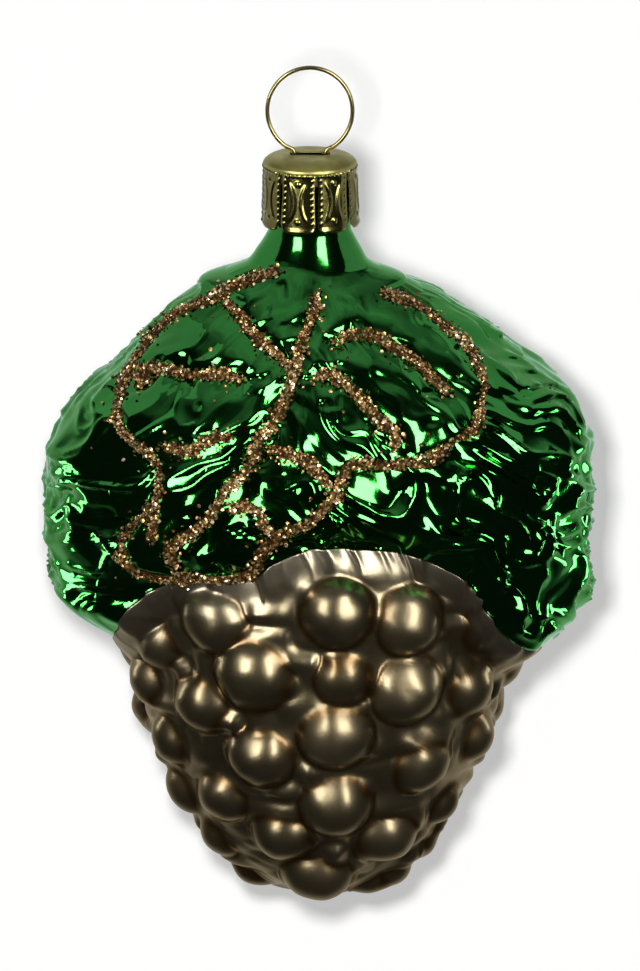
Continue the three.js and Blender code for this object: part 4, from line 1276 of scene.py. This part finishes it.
def add_softbox(name, azimuth, elevation, width, height, radiance, in_gloss=True):
    """An area lamp seen from the target at an angle to the camera, sized by the angles it fills."""
    a, e = math.radians(azimuth), math.radians(elevation)
    towards = -TOWARDS * math.cos(a) * math.cos(e) + RIGHTWARDS * math.sin(a) * math.cos(e)
    towards = towards + UPWARDS * math.sin(e)
    lamp = bpy.data.lights.new(name, "AREA")
    lamp.shape = "RECTANGLE"
    lamp.size = 2 * SOFTBOX_AWAY * math.tan(math.radians(width / 2)) * MM
    lamp.size_y = 2 * SOFTBOX_AWAY * math.tan(math.radians(height / 2)) * MM
    lamp.energy = radiance * math.pi * lamp.size * lamp.size_y
    lamp.color = (1.0, 0.99, 0.96)
    box = bpy.data.objects.new(name, lamp)
    box.location = (TARGET + SOFTBOX_AWAY * towards) * MM
    back = box.location - __import__("mathutils").Vector(TARGET * MM)
    box.rotation_mode = "QUATERNION"
    box.rotation_quaternion = back.to_track_quat("Z", "Y")
    box.visible_glossy = in_gloss
    box.visible_diffuse = not in_gloss
    bpy.context.scene.collection.objects.link(box)
    print(f"{name}: {lamp.size:.2f} x {lamp.size_y:.2f} m, {lamp.energy:.1f} W")


add_softbox("softbox_left", -32, 6, 19, 36, 15.0)
add_softbox("softbox_right", 30, 7, 19, 44, 15.0)
add_softbox("top_lamp", -2.2, 1.6, 3.5, 3.5, 892.0, in_gloss=False)

# %% World and board
BOARD_BEHIND = 36.0


def light_path(tree, name):
    return add_node(tree, "ShaderNodeLightPath").outputs[name]


def arithmetic(tree, operation, a, b=0.0, clamp=False):
    return add_node(tree, "ShaderNodeMath", {"operation": operation, "use_clamp": clamp}, i0=a, i1=b).outputs[0]


def add_world():
    """White to the camera. To gloss it is dark in front and white from the sides to the back."""
    world = bpy.data.worlds.new("studio")
    bpy.context.scene.world = world
    world.use_nodes = True
    tree = world.node_tree
    sky = tree.nodes["Background"]
    direction = add_node(tree, "ShaderNodeTexCoord").outputs["Generated"]
    ahead = add_node(tree, "ShaderNodeVectorMath", {"operation": "DOT_PRODUCT"}, i0=direction, i1=tuple(TOWARDS))
    above = add_node(tree, "ShaderNodeVectorMath", {"operation": "DOT_PRODUCT"}, i0=direction, i1=tuple(UPWARDS))
    bands = noise_of(tree, direction, 3.2, 4)
    waver = arithmetic(tree, "MULTIPLY", arithmetic(tree, "SUBTRACT", bands.outputs["Fac"], 0.5), 0.5)
    levels = []
    for side, stops in (
        (ahead, [(0.0, 0.015), (0.34, 0.02), (0.50, 0.14), (0.66, 0.5), (0.82, 0.7), (1.0, 0.7)]),
        (above, [(0.0, 0.012), (0.58, 0.016), (0.72, 0.07), (0.85, 0.26), (1.0, 0.52)]),
    ):
        moved = arithmetic(tree, "ADD", side.outputs["Value"], waver, True)
        levels.append(ramp_of(tree, moved, [(at, (level,) * 3) for at, level in stops]))
    room = add_node(tree, "ShaderNodeMix", {"data_type": "RGBA", "blend_type": "LIGHTEN"}, Factor=1.0)
    tree.links.new(levels[0], room.inputs[6])
    tree.links.new(levels[1], room.inputs[7])
    glossy = add_node(tree, "ShaderNodeMix", {"data_type": "RGBA"}, Factor=light_path(tree, "Is Glossy Ray"))
    glossy.inputs[6].default_value = (0.16, 0.16, 0.16, 1)
    tree.links.new(room.outputs[2], glossy.inputs[7])
    seen = add_node(tree, "ShaderNodeMix", {"data_type": "RGBA"}, Factor=light_path(tree, "Is Camera Ray"))
    tree.links.new(glossy.outputs[2], seen.inputs[6])
    seen.inputs[7].default_value = (1, 1, 1, 1)
    tree.links.new(seen.outputs[2], sky.inputs["Color"])
    sky.inputs["Strength"].default_value = 1.0


def add_board():
    """A board across the line of view, just behind the object. Its rear side lets the camera through."""
    size = 110.0
    middle = TARGET + BOARD_BEHIND * TOWARDS
    corners = [middle + size * (i * RIGHTWARDS + j * UPWARDS) for i, j in ((-1, -1), (1, -1), (1, 1), (-1, 1))]
    mesh = make_mesh("board", np.array(corners), [np.array([[0, 1, 2, 3]])])
    board = bpy.data.objects.new("board", mesh)
    bpy.context.scene.collection.objects.link(board)
    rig.stage(board)
    board.visible_glossy = False
    material, tree, shader = new_material("board_white")
    shader.inputs["Base Color"].default_value = (0.95, 0.95, 0.95, 1)
    shader.inputs["Roughness"].default_value = 0.9
    shader.inputs["Specular IOR Level"].default_value = 0.0
    glow = add_node(tree, "ShaderNodeEmission", None, Strength=1.0)
    clear = add_node(tree, "ShaderNodeBsdfTransparent")
    seen = arithmetic(tree, "MULTIPLY", light_path(tree, "Is Camera Ray"), 0.45)
    front = add_node(tree, "ShaderNodeMixShader", None, i0=seen, i1=shader.outputs[0], i2=glow.outputs[0])
    behind = add_node(tree, "ShaderNodeNewGeometry").outputs["Backfacing"]
    place = add_node(tree, "ShaderNodeTexCoord").outputs["Generated"]
    off = add_node(tree, "ShaderNodeVectorMath", {"operation": "DISTANCE"}, i0=place, i1=(0.5, 0.5, 0.5))
    border = add_node(tree, "ShaderNodeMapRange", None, i0=off.outputs["Value"], i1=0.34, i2=0.5, i3=0.0, i4=1.0)
    unseen = arithmetic(tree, "MAXIMUM", behind, border.outputs[0])
    whole = add_node(tree, "ShaderNodeMixShader", None, i0=unseen, i1=front.outputs[0], i2=clear.outputs[0])
    tree.links.new(whole.outputs[0], tree.nodes["Material Output"].inputs["Surface"])
    mesh.materials.append(material)


def add_card(name, x, y, z, level):
    """A white card at the side, seen only by gloss, across the given ranges of y and z."""
    side = 1 if x > 0 else -1
    corners = [[x, y[0], z[0]], [x, y[1], z[0]], [x, y[1], z[1]], [x, y[0], z[1]]]
    mesh = make_mesh(name, np.array(corners), [np.array([[0, 1, 2, 3][::side]])])
    card = bpy.data.objects.new(name, mesh)
    bpy.context.scene.collection.objects.link(card)
    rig.stage(card)
    card.visible_camera = card.visible_diffuse = card.visible_shadow = False
    card.visible_transmission = card.visible_volume_scatter = False
    material, tree, shader = new_material(name + "_white")
    glow = add_node(tree, "ShaderNodeEmission", None, Strength=level)
    tree.links.new(glow.outputs[0], tree.nodes["Material Output"].inputs["Surface"])
    mesh.materials.append(material)


add_world()
add_board()
for side, label in ((-1, "left"), (1, "right")):
    add_card(f"card_{label}", 40.0 * side, (-8, 46), (-31, 8), 0.6)
    add_card(f"strip_{label}", 70.0 * side, (5, 15), (-80, -48), 9.0)

# %% [markdown]
# ## Ready to render
# The colours are shown as they are, with no film look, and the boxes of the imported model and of
# the dressed model are noted so that they can be compared.

# %% Finish
bpy.context.scene.view_settings.view_transform = "Standard"
FINAL_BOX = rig.bounds()
with open("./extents.json", "w") as sizes:
    json.dump({"cad": [list(v) for v in CAD_BOX], "visual": [list(v) for v in FINAL_BOX]}, sizes)
print("size:", [round(1000 * (b - a), 1) for a, b in zip(*FINAL_BOX)], "mm")
